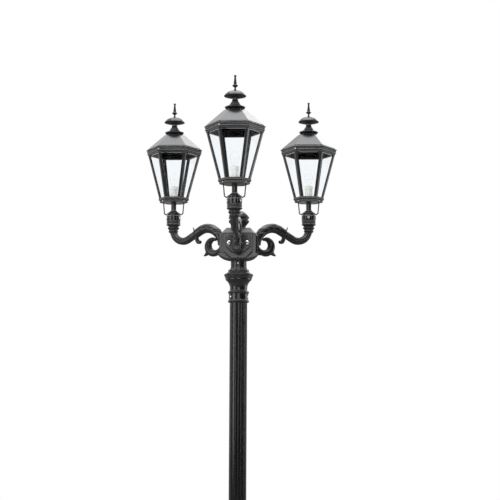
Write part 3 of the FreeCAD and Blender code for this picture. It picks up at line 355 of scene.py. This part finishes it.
class WeatherAndSheen(Effect):
    """Dust and a painted sky sheen on what faces up, faint streaks that run down, and the dull undersides and
    hollows.

    Attributes:
        top_span: upward part of the normal, from no dust and sheen to the most.
        under_span: upward part of the normal, from open to sheltered.
        patch_detail: octaves of the dust's patches.
        patch_span: patch noise, from the least dust and sheen to the most.
        patch_least: the least dust and sheen, as a share of the most.
        hollow_reach: how far off a wall still makes a hollow.
        hollow_samples: rays that look for walls.
        hollow_span: open share of the surroundings, from open to sheltered.
        streak_cells: cells of the streaks in a metre, along each axis.
        streak_detail: octaves of the streaks.
        streak_span: streak noise, from no streak to a full one.
    """

    name = "weather_and_sheen"
    takes = (("Patch", Socket.NUMBER),)
    gives = (("DustAndSheen", Socket.NUMBER), ("Streak", Socket.NUMBER), ("Shelter", Socket.NUMBER))
    top_span: Range = (0.2, 1.0)
    under_span: Range = (-0.05, -0.6)
    patch_detail: float = 4.0
    patch_span: Range = (0.35, 0.7)
    patch_least: float = 0.55
    hollow_reach: float = 0.16
    hollow_samples: int = 6
    hollow_span: Range = (0.8, 0.4)
    streak_cells: Spot = (90.0, 90.0, 4.0)
    streak_detail: float = 3.0
    streak_span: Range = (0.42, 0.68)

    @classmethod
    def wire(cls, graph: Graph, entry: bpy.types.Node, leave: bpy.types.Node) -> None:
        """Multiply the upward share by a patchy noise, and join the downward share with the hollows.

        Args:
            graph: the group's nodes.
            entry: the node that gives the inputs.
            leave: the node that takes the outputs.
        """
        spot = graph.add("TexCoord")
        upward = graph.upward(spot.outputs["Normal"])
        patch = graph.noise(spot.outputs["Object"], entry.outputs["Patch"], cls.patch_detail)
        # What faces up is lightened: real dust, and a painted sheen of the sky above.
        dust_and_sheen = graph.calculate("MULTIPLY", graph.spread(upward, span=cls.top_span),
                               graph.spread(patch, cls.patch_least, span=cls.patch_span))
        graph.link(dust_and_sheen, leave.inputs["DustAndSheen"])
        hollow = graph.add("AmbientOcclusion", samples=cls.hollow_samples)
        hollow.inputs["Distance"].default_value = cls.hollow_reach
        shelter = graph.calculate("MAXIMUM", graph.spread(upward, span=cls.under_span),
                                  graph.spread(hollow.outputs["AO"], span=cls.hollow_span))
        graph.link(shelter, leave.inputs["Shelter"])
        tall = graph.add("Mapping")
        tall.inputs["Scale"].default_value = cls.streak_cells
        graph.link(spot.outputs["Object"], tall.inputs["Vector"])
        streak = graph.noise(tall.outputs["Vector"], 1.0, cls.streak_detail)
        graph.link(graph.spread(streak, span=cls.streak_span), leave.inputs["Streak"])


@dataclass(frozen=True)
class Finish:
    """What a surface is, as a base for the finishes below.

    Attributes:
        name: the material's name.
        colour: the surface's own colour.
    """

    name: str
    colour: Colour

    def wire(self, graph: Graph, shader: bpy.types.Node) -> None:
        """Set and link the inputs of the material's shader."""
        raise NotImplementedError


@cache
def material_of(finish: Finish) -> bpy.types.Material:
    """Make a finish's material on its first use.

    Args:
        finish: what the surface is.

    Returns:
        The material.
    """
    material = bpy.data.materials.new(finish.name)
    material.use_nodes = True
    tree = material.node_tree
    finish.wire(Graph(tree), tree.nodes["Principled BSDF"])
    return material


@dataclass(frozen=True)
class Paint(Finish):
    """Black paint on metal, with soft edges, a cast skin, a little dust, a painted sky sheen on what faces
    up, painted highlights on the upward edges and dull hollows.

    Attributes:
        dust_and_sheen_colour: colour of the dust and of the painted sky sheen, and of the streaks.
        worn_and_highlight: colour of the edges that face up, for worn paint and for a painted highlight from
            above.
        gloss: specular level.
        roughness: middle roughness.
        spread: how far the roughness strays from its middle.
        dull: roughness that sheltered places add.
        grain: cells of the fine grain in a metre.
        swell: cells of the slow swell and of the patches of dust and sheen in a metre.
        depth: height of the skin.
        edge: radius of the soft edges.
        dust_and_sheen: share of dust and of painted sky sheen on what faces up.
        wear_and_highlight: share of that colour on the edges, partly worn paint and partly painted highlight.
        streak_share: strength of the streaks, against the dust and sheen.
    """

    dust_and_sheen_colour: Colour
    worn_and_highlight: Colour
    gloss: float
    roughness: float
    spread: float
    dull: float
    grain: float
    swell: float
    depth: float
    edge: float
    dust_and_sheen: float
    wear_and_highlight: float
    streak_share: float = 0.06

    def wire(self, graph: Graph, shader: bpy.types.Node) -> None:
        """Lay dust with a painted sky sheen, streaks, and worn edges with painted highlights over the colour,
        and dull the sheltered places.

        Args:
            graph: the material's nodes.
            shader: its shader.
        """
        skin = CastSkin.place(graph, Grain=self.grain, Swell=self.swell)
        # The edge mask lightens the edges that face up: partly worn paint, partly a painted highlight from
        # above.
        edge = SoftEdge.place(graph, Radius=self.edge)
        weather_and_sheen = WeatherAndSheen.place(graph, Patch=self.swell)
        colour: Colour | bpy.types.NodeSocket = self.colour
        for mask, share, tone in ((weather_and_sheen["DustAndSheen"], self.dust_and_sheen, self.dust_and_sheen_colour),
                                  (weather_and_sheen["Streak"], self.dust_and_sheen * self.streak_share, self.dust_and_sheen_colour),
                                  (edge["Edge"], self.wear_and_highlight, self.worn_and_highlight)):
            colour = graph.blend(graph.spread(mask, 0.0, share), colour, tone)
        graph.link(colour, shader.inputs["Base Color"])
        shader.inputs["Specular IOR Level"].default_value = self.gloss
        sheen = graph.spread(skin["Tone"], self.roughness - self.spread, self.roughness + self.spread)
        rough = graph.calculate("MULTIPLY_ADD", weather_and_sheen["Shelter"], self.dull, sheen)
        graph.link(rough, shader.inputs["Roughness"])
        graph.link(graph.bump(skin["Height"], self.depth, edge["Normal"]), shader.inputs["Normal"])


@dataclass(frozen=True)
class Steel(Finish):
    """Bright metal with a fine brushed tone.

    Attributes:
        roughness: middle roughness.
        grain: cells of the fine grain in a metre.
        edge: radius of the soft edges.
        swell_share: cells of the slow swell, against those of the grain.
        shade: the darker tone, as a share of the colour.
        shade_share: how much of the darker tone shows at most.
        sheen: least and most roughness, against the middle one.
    """

    roughness: float
    grain: float
    edge: float
    swell_share: float = 0.2
    shade: float = 0.7
    shade_share: float = 0.35
    sheen: Range = (0.7, 1.4)

    def wire(self, graph: Graph, shader: bpy.types.Node) -> None:
        """Let the colour and the roughness of the metal follow its skin.

        Args:
            graph: the material's nodes.
            shader: its shader.
        """
        shader.inputs["Metallic"].default_value = 1.0
        tone = CastSkin.place(graph, Grain=self.grain, Swell=self.grain * self.swell_share)["Tone"]
        darker = tuple(self.shade * part for part in self.colour)
        shaded = graph.blend(graph.spread(tone, 0.0, self.shade_share), self.colour, darker)
        graph.link(shaded, shader.inputs["Base Color"])
        least, most = (self.roughness * share for share in self.sheen)
        graph.link(graph.spread(tone, least, most), shader.inputs["Roughness"])
        graph.link(SoftEdge.place(graph, Radius=self.edge)["Normal"], shader.inputs["Normal"])


@dataclass(frozen=True)
class Glass(Finish):
    """Clear glass that lets the lamps' light through to what is behind it.

    Attributes:
        index: index of refraction.
        ripple: height of the waves in its surface.
        wave_cells: cells of the waves in a metre.
        wave_detail: octaves of the waves.
    """

    index: float
    ripple: float
    wave_cells: float = 6.0
    wave_detail: float = 1.0

    def wire(self, graph: Graph, shader: bpy.types.Node) -> None:
        """Make the shader clear, and let shadow rays pass it.

        Args:
            graph: the material's nodes.
            shader: its shader.
        """
        tint = (*self.colour, 1)
        shader.inputs["Base Color"].default_value = tint
        shader.inputs["Transmission Weight"].default_value = 1.0
        shader.inputs["IOR"].default_value = self.index
        shader.inputs["Roughness"].default_value = 0.0
        waves = graph.noise(graph.add("TexCoord").outputs["Object"], self.wave_cells, self.wave_detail)
        graph.link(graph.bump(waves, self.ripple), shader.inputs["Normal"])
        clear = graph.add("BsdfTransparent")
        clear.inputs["Color"].default_value = tint
        mix = graph.add("MixShader")
        graph.link(graph.add("LightPath").outputs["Is Shadow Ray"], mix.inputs["Fac"])
        graph.link(shader.outputs["BSDF"], mix.inputs[1])
        graph.link(clear.outputs["BSDF"], mix.inputs[2])
        leave = graph.tree.nodes["Material Output"]
        graph.link(mix.outputs["Shader"], leave.inputs["Surface"])


@dataclass(frozen=True)
class Plain(Finish):
    """A smooth even finish with slight clouding, for glaze and sheet metal.

    Attributes:
        clouded: colour of the clouds.
        gloss: specular level.
        roughness: middle roughness.
        edge: radius of the soft edges.
        grain: cells of the fine grain in a metre.
        swell: cells of the clouds in a metre.
        sheen: least and most roughness, against the middle one.
    """

    clouded: Colour
    gloss: float
    roughness: float
    edge: float
    grain: float = 400.0
    swell: float = 45.0
    sheen: Range = (0.85, 1.2)

    def wire(self, graph: Graph, shader: bpy.types.Node) -> None:
        """Cloud the colour and the roughness.

        Args:
            graph: the material's nodes.
            shader: its shader.
        """
        shader.inputs["Specular IOR Level"].default_value = self.gloss
        tone = CastSkin.place(graph, Grain=self.grain, Swell=self.swell)["Tone"]
        graph.link(graph.blend(tone, self.colour, self.clouded), shader.inputs["Base Color"])
        least, most = (self.roughness * share for share in self.sheen)
        graph.link(graph.spread(tone, least, most), shader.inputs["Roughness"])
        graph.link(SoftEdge.place(graph, Radius=self.edge)["Normal"], shader.inputs["Normal"])


@dataclass(frozen=True)
class Matt(Finish):
    """An even matt surface, for what stands in the studio.

    Attributes:
        roughness: the same all over.
    """

    roughness: float

    def wire(self, graph: Graph, shader: bpy.types.Node) -> None:
        """Set the colour and the roughness."""
        shader.inputs["Base Color"].default_value = (*self.colour, 1)
        shader.inputs["Roughness"].default_value = self.roughness


# On these paints the upward lightening is dust plus a painted sky sheen, and the pale edge colour is worn
# paint plus painted highlight lines.
CAST_BLACK = Paint("cast_black", colour=(0.008, 0.008, 0.0085), dust_and_sheen_colour=(0.3, 0.3, 0.298),
                   worn_and_highlight=(0.7, 0.7, 0.7), gloss=0.42, roughness=0.25, spread=0.015, dull=0.5, grain=900.0,
                   swell=60.0, depth=0.00003, edge=0.005, dust_and_sheen=0.3, wear_and_highlight=1.0)
SHAFT_BLACK = replace(CAST_BLACK, name="shaft_black", roughness=0.2, spread=0.006, dull=0.0, depth=0.000002,
                      edge=0.0003, dust_and_sheen=0.4, wear_and_highlight=0.1)
SHEET_BLACK = Paint("sheet_black", colour=(0.008, 0.008, 0.009), dust_and_sheen_colour=(0.09, 0.09, 0.09),
                    worn_and_highlight=(0.42, 0.41, 0.40), gloss=0.55, roughness=0.17, spread=0.03, dull=0.6, grain=700.0,
                    swell=26.0, depth=0.00004, edge=0.004, dust_and_sheen=0.07, wear_and_highlight=0.9)
# The eave's pale edge colour paints bright highlight lines along its upward edges, besides worn paint.
EAVE_BLACK = replace(SHEET_BLACK, name="eave_black", worn_and_highlight=(0.75, 0.74, 0.72), edge=0.007, wear_and_highlight=1.0)
BRIGHT_STEEL = Steel("bright_steel", colour=(0.86, 0.86, 0.87), roughness=0.22, grain=1500.0, edge=0.0008)
CAP_BRASS = Steel("cap_brass", colour=(0.78, 0.62, 0.34), roughness=0.3, grain=1500.0, edge=0.0004)
WIRE_METAL = Steel("wire_metal", colour=(0.45, 0.44, 0.42), roughness=0.35, grain=3000.0, edge=0.0001)
PANE_GLASS = Glass("pane_glass", colour=(0.955, 0.972, 0.986), index=1.1, ripple=0.00005)
BULB_GLASS = Glass("bulb_glass", colour=(0.995, 0.995, 0.993), index=1.03, ripple=0.00002)
PORCELAIN = Plain("porcelain", colour=(0.92, 0.91, 0.86), clouded=(0.88, 0.87, 0.81), gloss=0.5,
                  roughness=0.22, edge=0.0015)
# The floor plate's dark olive colour is a painted reflection of a lawn below, not the plate's own colour.
FLOOR_PLATE_LAWN_REFLECTION = Plain("floor_plate", colour=(0.05, 0.06, 0.025), clouded=(0.03, 0.035, 0.018), gloss=0.15,
                    roughness=0.45, edge=0.0006)
STUDIO_FLOOR = Matt("studio_floor", colour=(0.86, 0.86, 0.86), roughness=0.9)
DARK_SCREEN = Matt("front_screen", colour=(0.02, 0.02, 0.02), roughness=1.0)


def dress(node: str, finish: Finish) -> bpy.types.Object:
    """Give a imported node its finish.

    Args:
        node: the node's name.
        finish: what its surface is.

    Returns:
        The node's object.
    """
    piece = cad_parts[node]
    piece.data.materials.clear()
    piece.data.materials.append(material_of(finish))
    return piece


def new_object(name: str, shape: bmesh.types.BMesh, finish: Finish) -> bpy.types.Object:
    """Turn a bmesh into an object of the scene.

    Args:
        name: the object's name.
        shape: its mesh, in the shared frame; it is freed.
        finish: what its surface is.

    Returns:
        The new object.
    """
    mesh = bpy.data.meshes.new(name)
    shape.to_mesh(mesh)
    shape.free()
    mesh.materials.append(material_of(finish))
    made = bpy.data.objects.new(name, mesh)
    bpy.context.scene.collection.objects.link(made)
    return made


def new_piece(name: str, shape: bmesh.types.BMesh, finish: Finish) -> bpy.types.Object:
    """Turn a bmesh into a smooth piece that rides on the fixed body.

    Args:
        name: the piece's name.
        shape: its mesh, in the shared frame; it is freed.
        finish: what its surface is.

    Returns:
        The new piece.
    """
    bmesh.ops.recalc_face_normals(shape, faces=shape.faces)
    piece = new_object(name, shape, finish)
    piece.data.shade_smooth()
    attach(piece, FIXED_BODY)
    return piece


def lathe(outline: list[tuple[float, float]], centre: Vector, steps: int) -> bmesh.types.BMesh:
    """Spin an outline of radius and height round an upright axis.

    Args:
        outline: points from the foot to the top.
        centre: the axis's foot.
        steps: divisions of the turn.

    Returns:
        The spun surface.
    """
    shape = bmesh.new()
    corners = [shape.verts.new(centre + Vector((radius, 0, height))) for radius, height in outline]
    edges = [shape.edges.new(pair) for pair in zip(corners, corners[1:])]
    bmesh.ops.spin(shape, geom=corners + edges, cent=centre, axis=(0, 0, 1), dvec=(0, 0, 0),
                   angle=math.tau, steps=steps, use_merge=True)
    bmesh.ops.remove_doubles(shape, verts=shape.verts, dist=MERGE_DISTANCE)
    return shape


def start_wire(shape: bmesh.types.BMesh, centre: Vector, radius: float,
               sides: int) -> tuple[list[bmesh.types.BMVert], list[bmesh.types.BMEdge]]:
    """Add the level ring that a wire grows from.

    Args:
        shape: the mesh that gets it.
        centre: the ring's centre.
        radius: its radius.
        sides: its number of edges.

    Returns:
        The ring's corners and its edges.
    """
    ring = bmesh.ops.create_circle(shape, segments=sides, radius=radius, cap_ends=False)["verts"]
    bmesh.ops.translate(shape, verts=ring, vec=centre)
    edges = dict.fromkeys(edge for corner in ring for edge in corner.link_edges)
    return list(ring), list(edges)


class Assembly:
    """Pieces that belong together on the real object."""

    def build(self) -> list[bpy.types.Object]:
        """Dress or make the pieces, and return them."""
        raise NotImplementedError


@dataclass
class Post(Assembly):
    """The foot, the fluted shaft, the capital and the hub with its acorn.

    Attributes:
        castings: the nodes with a cast skin.
        shaft: the node of the column.
        bolts: the node of the set screws.
    """

    castings: tuple[str, ...] = ("post_base", "shaft_capital", "hub_dish", "hub_body", "hub_finial")
    shaft: str = "fluted_shaft"
    bolts: str = "capital_bolts"

    def build(self) -> list[bpy.types.Object]:
        """Give the post its finishes, and return its pieces."""
        pieces = [dress(node, CAST_BLACK) for node in self.castings]
        return pieces + [dress(self.shaft, SHAFT_BLACK), dress(self.bolts, BRIGHT_STEEL)]


@dataclass
class Arms(Assembly):
    """The three cast scroll arms, with the screws of arms and lanterns.

    Attributes:
        fasteners: the nodes of the bolts and screws.
    """

    fasteners: tuple[str, ...] = ("arm_bolts", "holder_screws", "frame_screws")

    def build(self) -> list[bpy.types.Object]:
        """Give the arms and the screws their finishes, and return them."""
        pieces = [dress(side.node("arm"), CAST_BLACK) for side in Side]
        return pieces + [dress(node, BRIGHT_STEEL) for node in self.fasteners]


@dataclass
class Lantern(Assembly):
    """One six-sided lantern on its arm.

    Attributes:
        side: the light that it is.
        finishes: each finish, with the pieces that have it.
    """

    side: Side
    finishes: tuple[tuple[Finish, tuple[str, ...]], ...] = (
        (CAST_BLACK, ("holder", "base_ring", "cowl", "cap", "finial")),
        (SHEET_BLACK, ("stem", "side_rods", "corner_posts", "roof")),
        (EAVE_BLACK, ("eave_ring",)),
        (BRIGHT_STEEL, ("hinge_pin",)),
        (FLOOR_PLATE_LAWN_REFLECTION, ("floor",)),
        (PANE_GLASS, ("glass_panes",)),
        (PORCELAIN, ("lamp_holder",)),
    )

    def build(self) -> list[bpy.types.Object]:
        """Give the lantern's nodes their finishes, and return them."""
        return [dress(self.side.node(piece), finish) for finish, pieces in self.finishes for piece in pieces]


@dataclass
class Bulb(Assembly):
    """A clear bulb that stands in for a lantern's solid one: a hollow shell, a screw cap and a filament.

    Attributes:
        side: the light that holds it.
        wall: thickness of the shell.
        spin_steps: divisions of a full turn.
        neck_share: radius of the neck, against the bulb's.
        cap_share: height of the cap, against the bulb's.
        flare: radius of the shell just above the cap, against the neck's.
        flare_rise: how far above the cap that is.
        belly: points of the shell above that, as radius and as rise over the cap, against the bulb's size.
        dome: points of the round end, as radius and depth under the top, both against the bulb's radius.
        contact: radius of the contact at its tip and at its base, against the neck's.
        contact_round: rise of the contact's tip.
        contact_rise: height of the contact, against the thread's pitch.
        shoulder: radius of the cap below its thread, against the neck's.
        threads: turns of the thread.
        thread_radii: radius of the thread's root and crest, against the neck's.
        thread_rises: where root and crest lie in a turn.
        rim: radius of the cap's top, against the neck's.
        wire: radius of the lead wires.
        wire_sides: edges round a lead wire.
        lead_spread: how far out the lead wires start, as a share of half the coil's length.
        lead_rise: share of their height that the lead wires go straight up.
        coil_height: height of the coil, against the bulb's.
        coil_span: half the coil's length, against the bulb's radius.
        coil_radius: radius of the coil.
        coil_turns: its turns.
        coil_steps: divisions of each of them.
        coil_wire: radius of its wire, against the lead wires'.
        coil_sides: edges round its wire.
        foot: middle of the solid bulb's underside.
        radius: the solid bulb's radius.
        tall: its height.
        neck: radius of the neck.
        cap_top: height of the cap.
    """

    side: Side
    wall: float = 0.0008
    spin_steps: int = 32
    neck_share: float = 0.45
    cap_share: float = 0.2195
    flare: float = 1.1
    flare_rise: float = 0.006
    belly: Points = ((0.66, 0.16), (0.88, 0.32))
    dome: Points = ((1.0, 1.05), (0.94, 0.64), (0.71, 0.29), (0.36, 0.06), (0.0, 0.0))
    contact: Range = (0.35, 0.4)
    contact_round: float = 0.0004
    contact_rise: float = 0.6
    shoulder: float = 0.85
    threads: int = 6
    thread_radii: Range = (0.93, 0.99)
    thread_rises: Range = (0.1, 0.5)
    rim: float = 0.97
    wire: float = 0.00025
    wire_sides: int = 6
    lead_spread: float = 0.35
    lead_rise: float = 0.45
    coil_height: float = 0.62
    coil_span: float = 0.42
    coil_radius: float = 0.0012
    coil_turns: int = 14
    coil_steps: int = 10
    coil_wire: float = 0.6
    coil_sides: int = 5
    foot: Vector = field(init=False)
    radius: float = field(init=False)
    tall: float = field(init=False)
    neck: float = field(init=False)
    cap_top: float = field(init=False)

    def __post_init__(self) -> None:
        """Take the place and the size of the solid bulb."""
        low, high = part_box(self.side.node("bulb"))
        self.foot = Vector(((low.x + high.x) / 2, (low.y + high.y) / 2, low.z))
        self.radius = (high.x - low.x) / 2
        self.tall = high.z - low.z
        self.neck = self.radius * self.neck_share
        self.cap_top = self.tall * self.cap_share

    def build(self) -> list[bpy.types.Object]:
        """Make the shell, the cap and the filament, and return them."""
        return [self.fit_shell(), self.fit_cap(), self.fit_filament()]

    def fit_shell(self) -> bpy.types.Object:
        """Spin the hollow glass, which takes the solid bulb's place.

        Returns:
            The shell.
        """
        outline = [(self.neck, self.cap_top), (self.neck * self.flare, self.cap_top + self.flare_rise)]
        outline += [(self.radius * out, self.cap_top + self.tall * rise) for out, rise in self.belly]
        outline += [(self.radius * out, self.tall - self.radius * depth) for out, depth in self.dome]
        shape = lathe(outline, self.foot, self.spin_steps)
        glass = new_piece(self.side.node("bulb_shell"), shape, BULB_GLASS)
        wall = glass.modifiers.new("wall", "SOLIDIFY")
        wall.thickness = self.wall
        wall.offset = -1
        smooth = glass.modifiers.new("smooth", "SUBSURF")
        smooth.levels = smooth.render_levels = 1
        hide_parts(self.side.node("bulb"))
        return glass

    def fit_cap(self) -> bpy.types.Object:
        """Spin the screw cap: a contact, a thread between two plain turns, and a rim.

        Returns:
            The cap.
        """
        pitch = self.cap_top / (self.threads + 2)
        tip, base = (self.neck * share for share in self.contact)
        root, crest = (self.neck * share for share in self.thread_radii)
        root_rise, crest_rise = self.thread_rises
        outline = [(0, 0), (tip, self.contact_round), (base, pitch * self.contact_rise),
                   (self.neck * self.shoulder, pitch)]
        for turn in range(1, self.threads + 1):
            outline += [(root, pitch * (turn + root_rise)), (crest, pitch * (turn + crest_rise))]
        outline += [(root, pitch * (self.threads + 1 + root_rise)), (self.neck * self.rim, self.cap_top)]
        shape = lathe(outline, self.foot, self.spin_steps)
        return new_piece(self.side.node("bulb_cap"), shape, CAP_BRASS)

    def fit_filament(self) -> bpy.types.Object:
        """Grow the two lead wires, and spin the coil between them.

        Returns:
            The filament.
        """
        head = self.tall * self.coil_height
        span = self.radius * self.coil_span
        rise = head - self.cap_top
        shape = bmesh.new()
        for way in (-1, 1):
            start = self.foot + Vector((way * span * self.lead_spread, 0, self.cap_top))
            _, edges = start_wire(shape, start, self.wire, self.wire_sides)
            for shift in (Vector((0, 0, rise * self.lead_rise)),
                          Vector((way * span * (1 - self.lead_spread), 0, rise * (1 - self.lead_rise)))):
                grown = bmesh.ops.extrude_edge_only(shape, edges=edges)["geom"]
                corners = [item for item in grown if isinstance(item, bmesh.types.BMVert)]
                bmesh.ops.translate(shape, verts=corners, vec=shift)
                edges = [item for item in grown
                         if isinstance(item, bmesh.types.BMEdge) and len(item.link_faces) == 1]
        end = self.foot + Vector((-span, 0, head))
        ring, edges = start_wire(shape, end + Vector((0, 0, self.coil_radius)), self.wire * self.coil_wire,
                                 self.coil_sides)
        steps = self.coil_turns * self.coil_steps
        bmesh.ops.spin(shape, geom=ring + edges, cent=end, axis=(1, 0, 0),
                       dvec=Vector((2 * span / steps, 0, 0)), angle=math.tau * self.coil_turns, steps=steps)
        return new_piece(self.side.node("filament"), shape, WIRE_METAL)


@dataclass(frozen=True)
class Softbox:
    """A rectangular soft lamp that faces the lanterns.

    Attributes:
        name: the lamp's name.
        place: where its middle hangs.
        width: its width.
        height: its height.
        power: its power in watts.
        colour: colour of its light.
        spread: angle that its light spreads over.
    """

    name: str
    place: Spot
    width: float
    height: float
    power: float
    colour: Colour = (1.0, 1.0, 1.0)
    spread: float = 180.0


@dataclass(frozen=True)
class Screen:
    """A dark screen with a skirt on the ground, round the front of the set, that only gloss sees.

    Attributes:
        name: the screen's name.
        radius: how far off it stands.
        height: its height.
        back: how far it reaches behind the post's axis.
    """

    name: str
    radius: float
    height: float
    back: float


@dataclass
class Studio:
    """White surroundings, soft lamps, a dark screen behind the camera, the floor and the camera.

    Attributes:
        distance: from the post's axis to the camera.
        eye: height of the camera.
        azimuth: how far the camera stands to the right of the front.
        pitch: how far it looks up.
        roll: how far it leans.
        lens: focal length in millimetres.
        sensor: width of the sensor in millimetres.
        axis_pixels: distance of the post's axis from the middle of the photograph, in its pixels.
        focal_pixels: focal length in the same pixels.
        fill: strength of the world as a light.
        floor_radius: radius of the floor.
        round_steps: divisions of the floor and of the screen.
        aim: the point that the lamps face.
        lamps: the soft lamps.
        screen: the dark screen.
    """

    distance: float = 8.72
    eye: float = 1.492
    azimuth: float = 3.0
    pitch: float = 6.2
    roll: float = 0.25
    lens: float = 92.9
    sensor: float = 36.0
    axis_pixels: float = 11.3
    focal_pixels: float = 1290.0
    fill: float = 0.3
    floor_radius: float = 6.0
    round_steps: int = 96
    aim: Spot = (0.0, 0.0, 2.9)
    lamps: tuple[Softbox, ...] = (
        Softbox("sky_lamp", place=(0.0, 0.6, 9.0), width=5.0, height=6.5, power=370.0,
                colour=(0.94, 0.97, 1.0)),
        Softbox("back_lamp", place=(2.7, 7.0, 7.2), width=3.5, height=3.0, power=65.0),
        Softbox("key_lamp", place=(-6.4, -4.6, 2.7), width=4.0, height=3.8, power=56.0, spread=90.0),
        Softbox("front_lamp", place=(0.3, -11.0, 3.8), width=5.0, height=1.5, power=190.0),
        Softbox("rim_lamp", place=(6.8, 1.9, 2.0), width=1.2, height=2.8, power=22.0, spread=90.0),
    )
    screen: Screen = Screen("front_screen", radius=12.0, height=7.4, back=1.0)

    def build(self) -> None:
        """Set up the whole studio."""
        bpy.context.scene.view_settings.view_transform = "Standard"
        self.surround()
        self.lay_floor()
        for lamp in self.lamps:
            self.hang(lamp)
        self.stand(self.screen)
        self.set_camera()

    def white_for_eye(self, graph: Graph) -> bpy.types.NodeSocket:
        """Tell the rays that show the background from those that only light.

        Args:
            graph: the world's nodes.

        Returns:
            1 for the rays that show it, and 0 for the others.
        """
        path = graph.add("LightPath")
        seen = path.outputs["Is Camera Ray"]
        for label in ("Is Glossy Ray", "Is Transmission Ray"):
            seen = graph.calculate("MAXIMUM", seen, path.outputs[label])
        return seen

    def surround(self) -> None:
        """Make the white world, which lights less than it shows."""
        world = bpy.data.worlds.new("studio")
        world.use_nodes = True
        bpy.context.scene.world = world
        graph = Graph(world.node_tree)
        backdrop = world.node_tree.nodes["Background"]
        backdrop.inputs["Color"].default_value = (1, 1, 1, 1)
        graph.link(graph.spread(self.white_for_eye(graph), self.fill, 1.0), backdrop.inputs["Strength"])

    def lay_floor(self) -> None:
        """Lay a pale round floor at the foot of the post."""
        shape = bmesh.new()
        bmesh.ops.create_circle(shape, segments=self.round_steps, radius=self.floor_radius, cap_ends=True)
        floor = new_object("studio_floor", shape, STUDIO_FLOOR)

    def hang(self, lamp: Softbox) -> None:
        """Hang a soft lamp that shows in gloss and not to the eye.

        Args:
            lamp: what it is and where it hangs.
        """
        light = bpy.data.lights.new(lamp.name, "AREA")
        light.shape = "RECTANGLE"
        light.size = lamp.width
        light.size_y = lamp.height
        light.energy = lamp.power
        light.color = lamp.colour
        light.spread = math.radians(lamp.spread)
        holder = bpy.data.objects.new(lamp.name, light)
        holder.location = lamp.place
        holder.rotation_mode = "QUATERNION"
        holder.rotation_quaternion = (Vector(self.aim) - Vector(lamp.place)).to_track_quat("-Z", "Y")
        holder.visible_camera = False
        holder.visible_transmission = False
        bpy.context.scene.collection.objects.link(holder)

    def stand(self, screen: Screen) -> None:
        """Stand the dark screen round the front half of the floor.

        Args:
            screen: what it is and where it stands.
        """
        outline = [(self.floor_radius, 0.0), (screen.radius, 0.0), (screen.radius, screen.height)]
        shape = lathe(outline, Vector(), self.round_steps)
        behind = [corner for corner in shape.verts if corner.co.y > screen.back]
        bmesh.ops.delete(shape, geom=behind, context="VERTS")
        wall = new_object(screen.name, shape, DARK_SCREEN)
        wall.visible_camera = False
        wall.visible_transmission = False
        wall.visible_diffuse = False
        wall.visible_shadow = False

    def set_camera(self) -> None:
        """Stand the camera in front of the post, a little to its right and below the lanterns."""
        data = bpy.data.cameras.new("camera")
        data.lens = self.lens
        data.sensor_width = self.sensor
        camera = bpy.data.objects.new("camera", data)
        turn = math.radians(self.azimuth)
        look = turn - math.atan(self.axis_pixels / self.focal_pixels)
        # An unturned camera looks straight down, so it is first tipped up until it is level.
        tip = math.radians(LEVEL_TURN + self.pitch)
        aim = (Matrix.Rotation(look, 3, "Z") @ Matrix.Rotation(tip, 3, "X")
               @ Matrix.Rotation(math.radians(self.roll), 3, "Z"))
        camera.location = (self.distance * math.sin(turn), -self.distance * math.cos(turn), self.eye)
        camera.rotation_euler = aim.to_euler()
        bpy.context.scene.collection.objects.link(camera)
        bpy.context.scene.camera = camera


def main() -> None:
    """Build the post, its arms, its lanterns and their bulbs, report each piece, and set up the studio."""
    logging.basicConfig(level=logging.INFO, format="%(name)s %(message)s")
    assemblies: list[Assembly] = [Post(), Arms()]
    for side in Side:
        assemblies += [Lantern(side), Bulb(side)]
    for assembly in assemblies:
        for piece in assembly.build():
            LOG.info("%s: %s, %d faces", piece.name, piece.data.materials[0].name, len(piece.data.polygons))
    Studio().build()


if __name__ == "__main__":
    main()
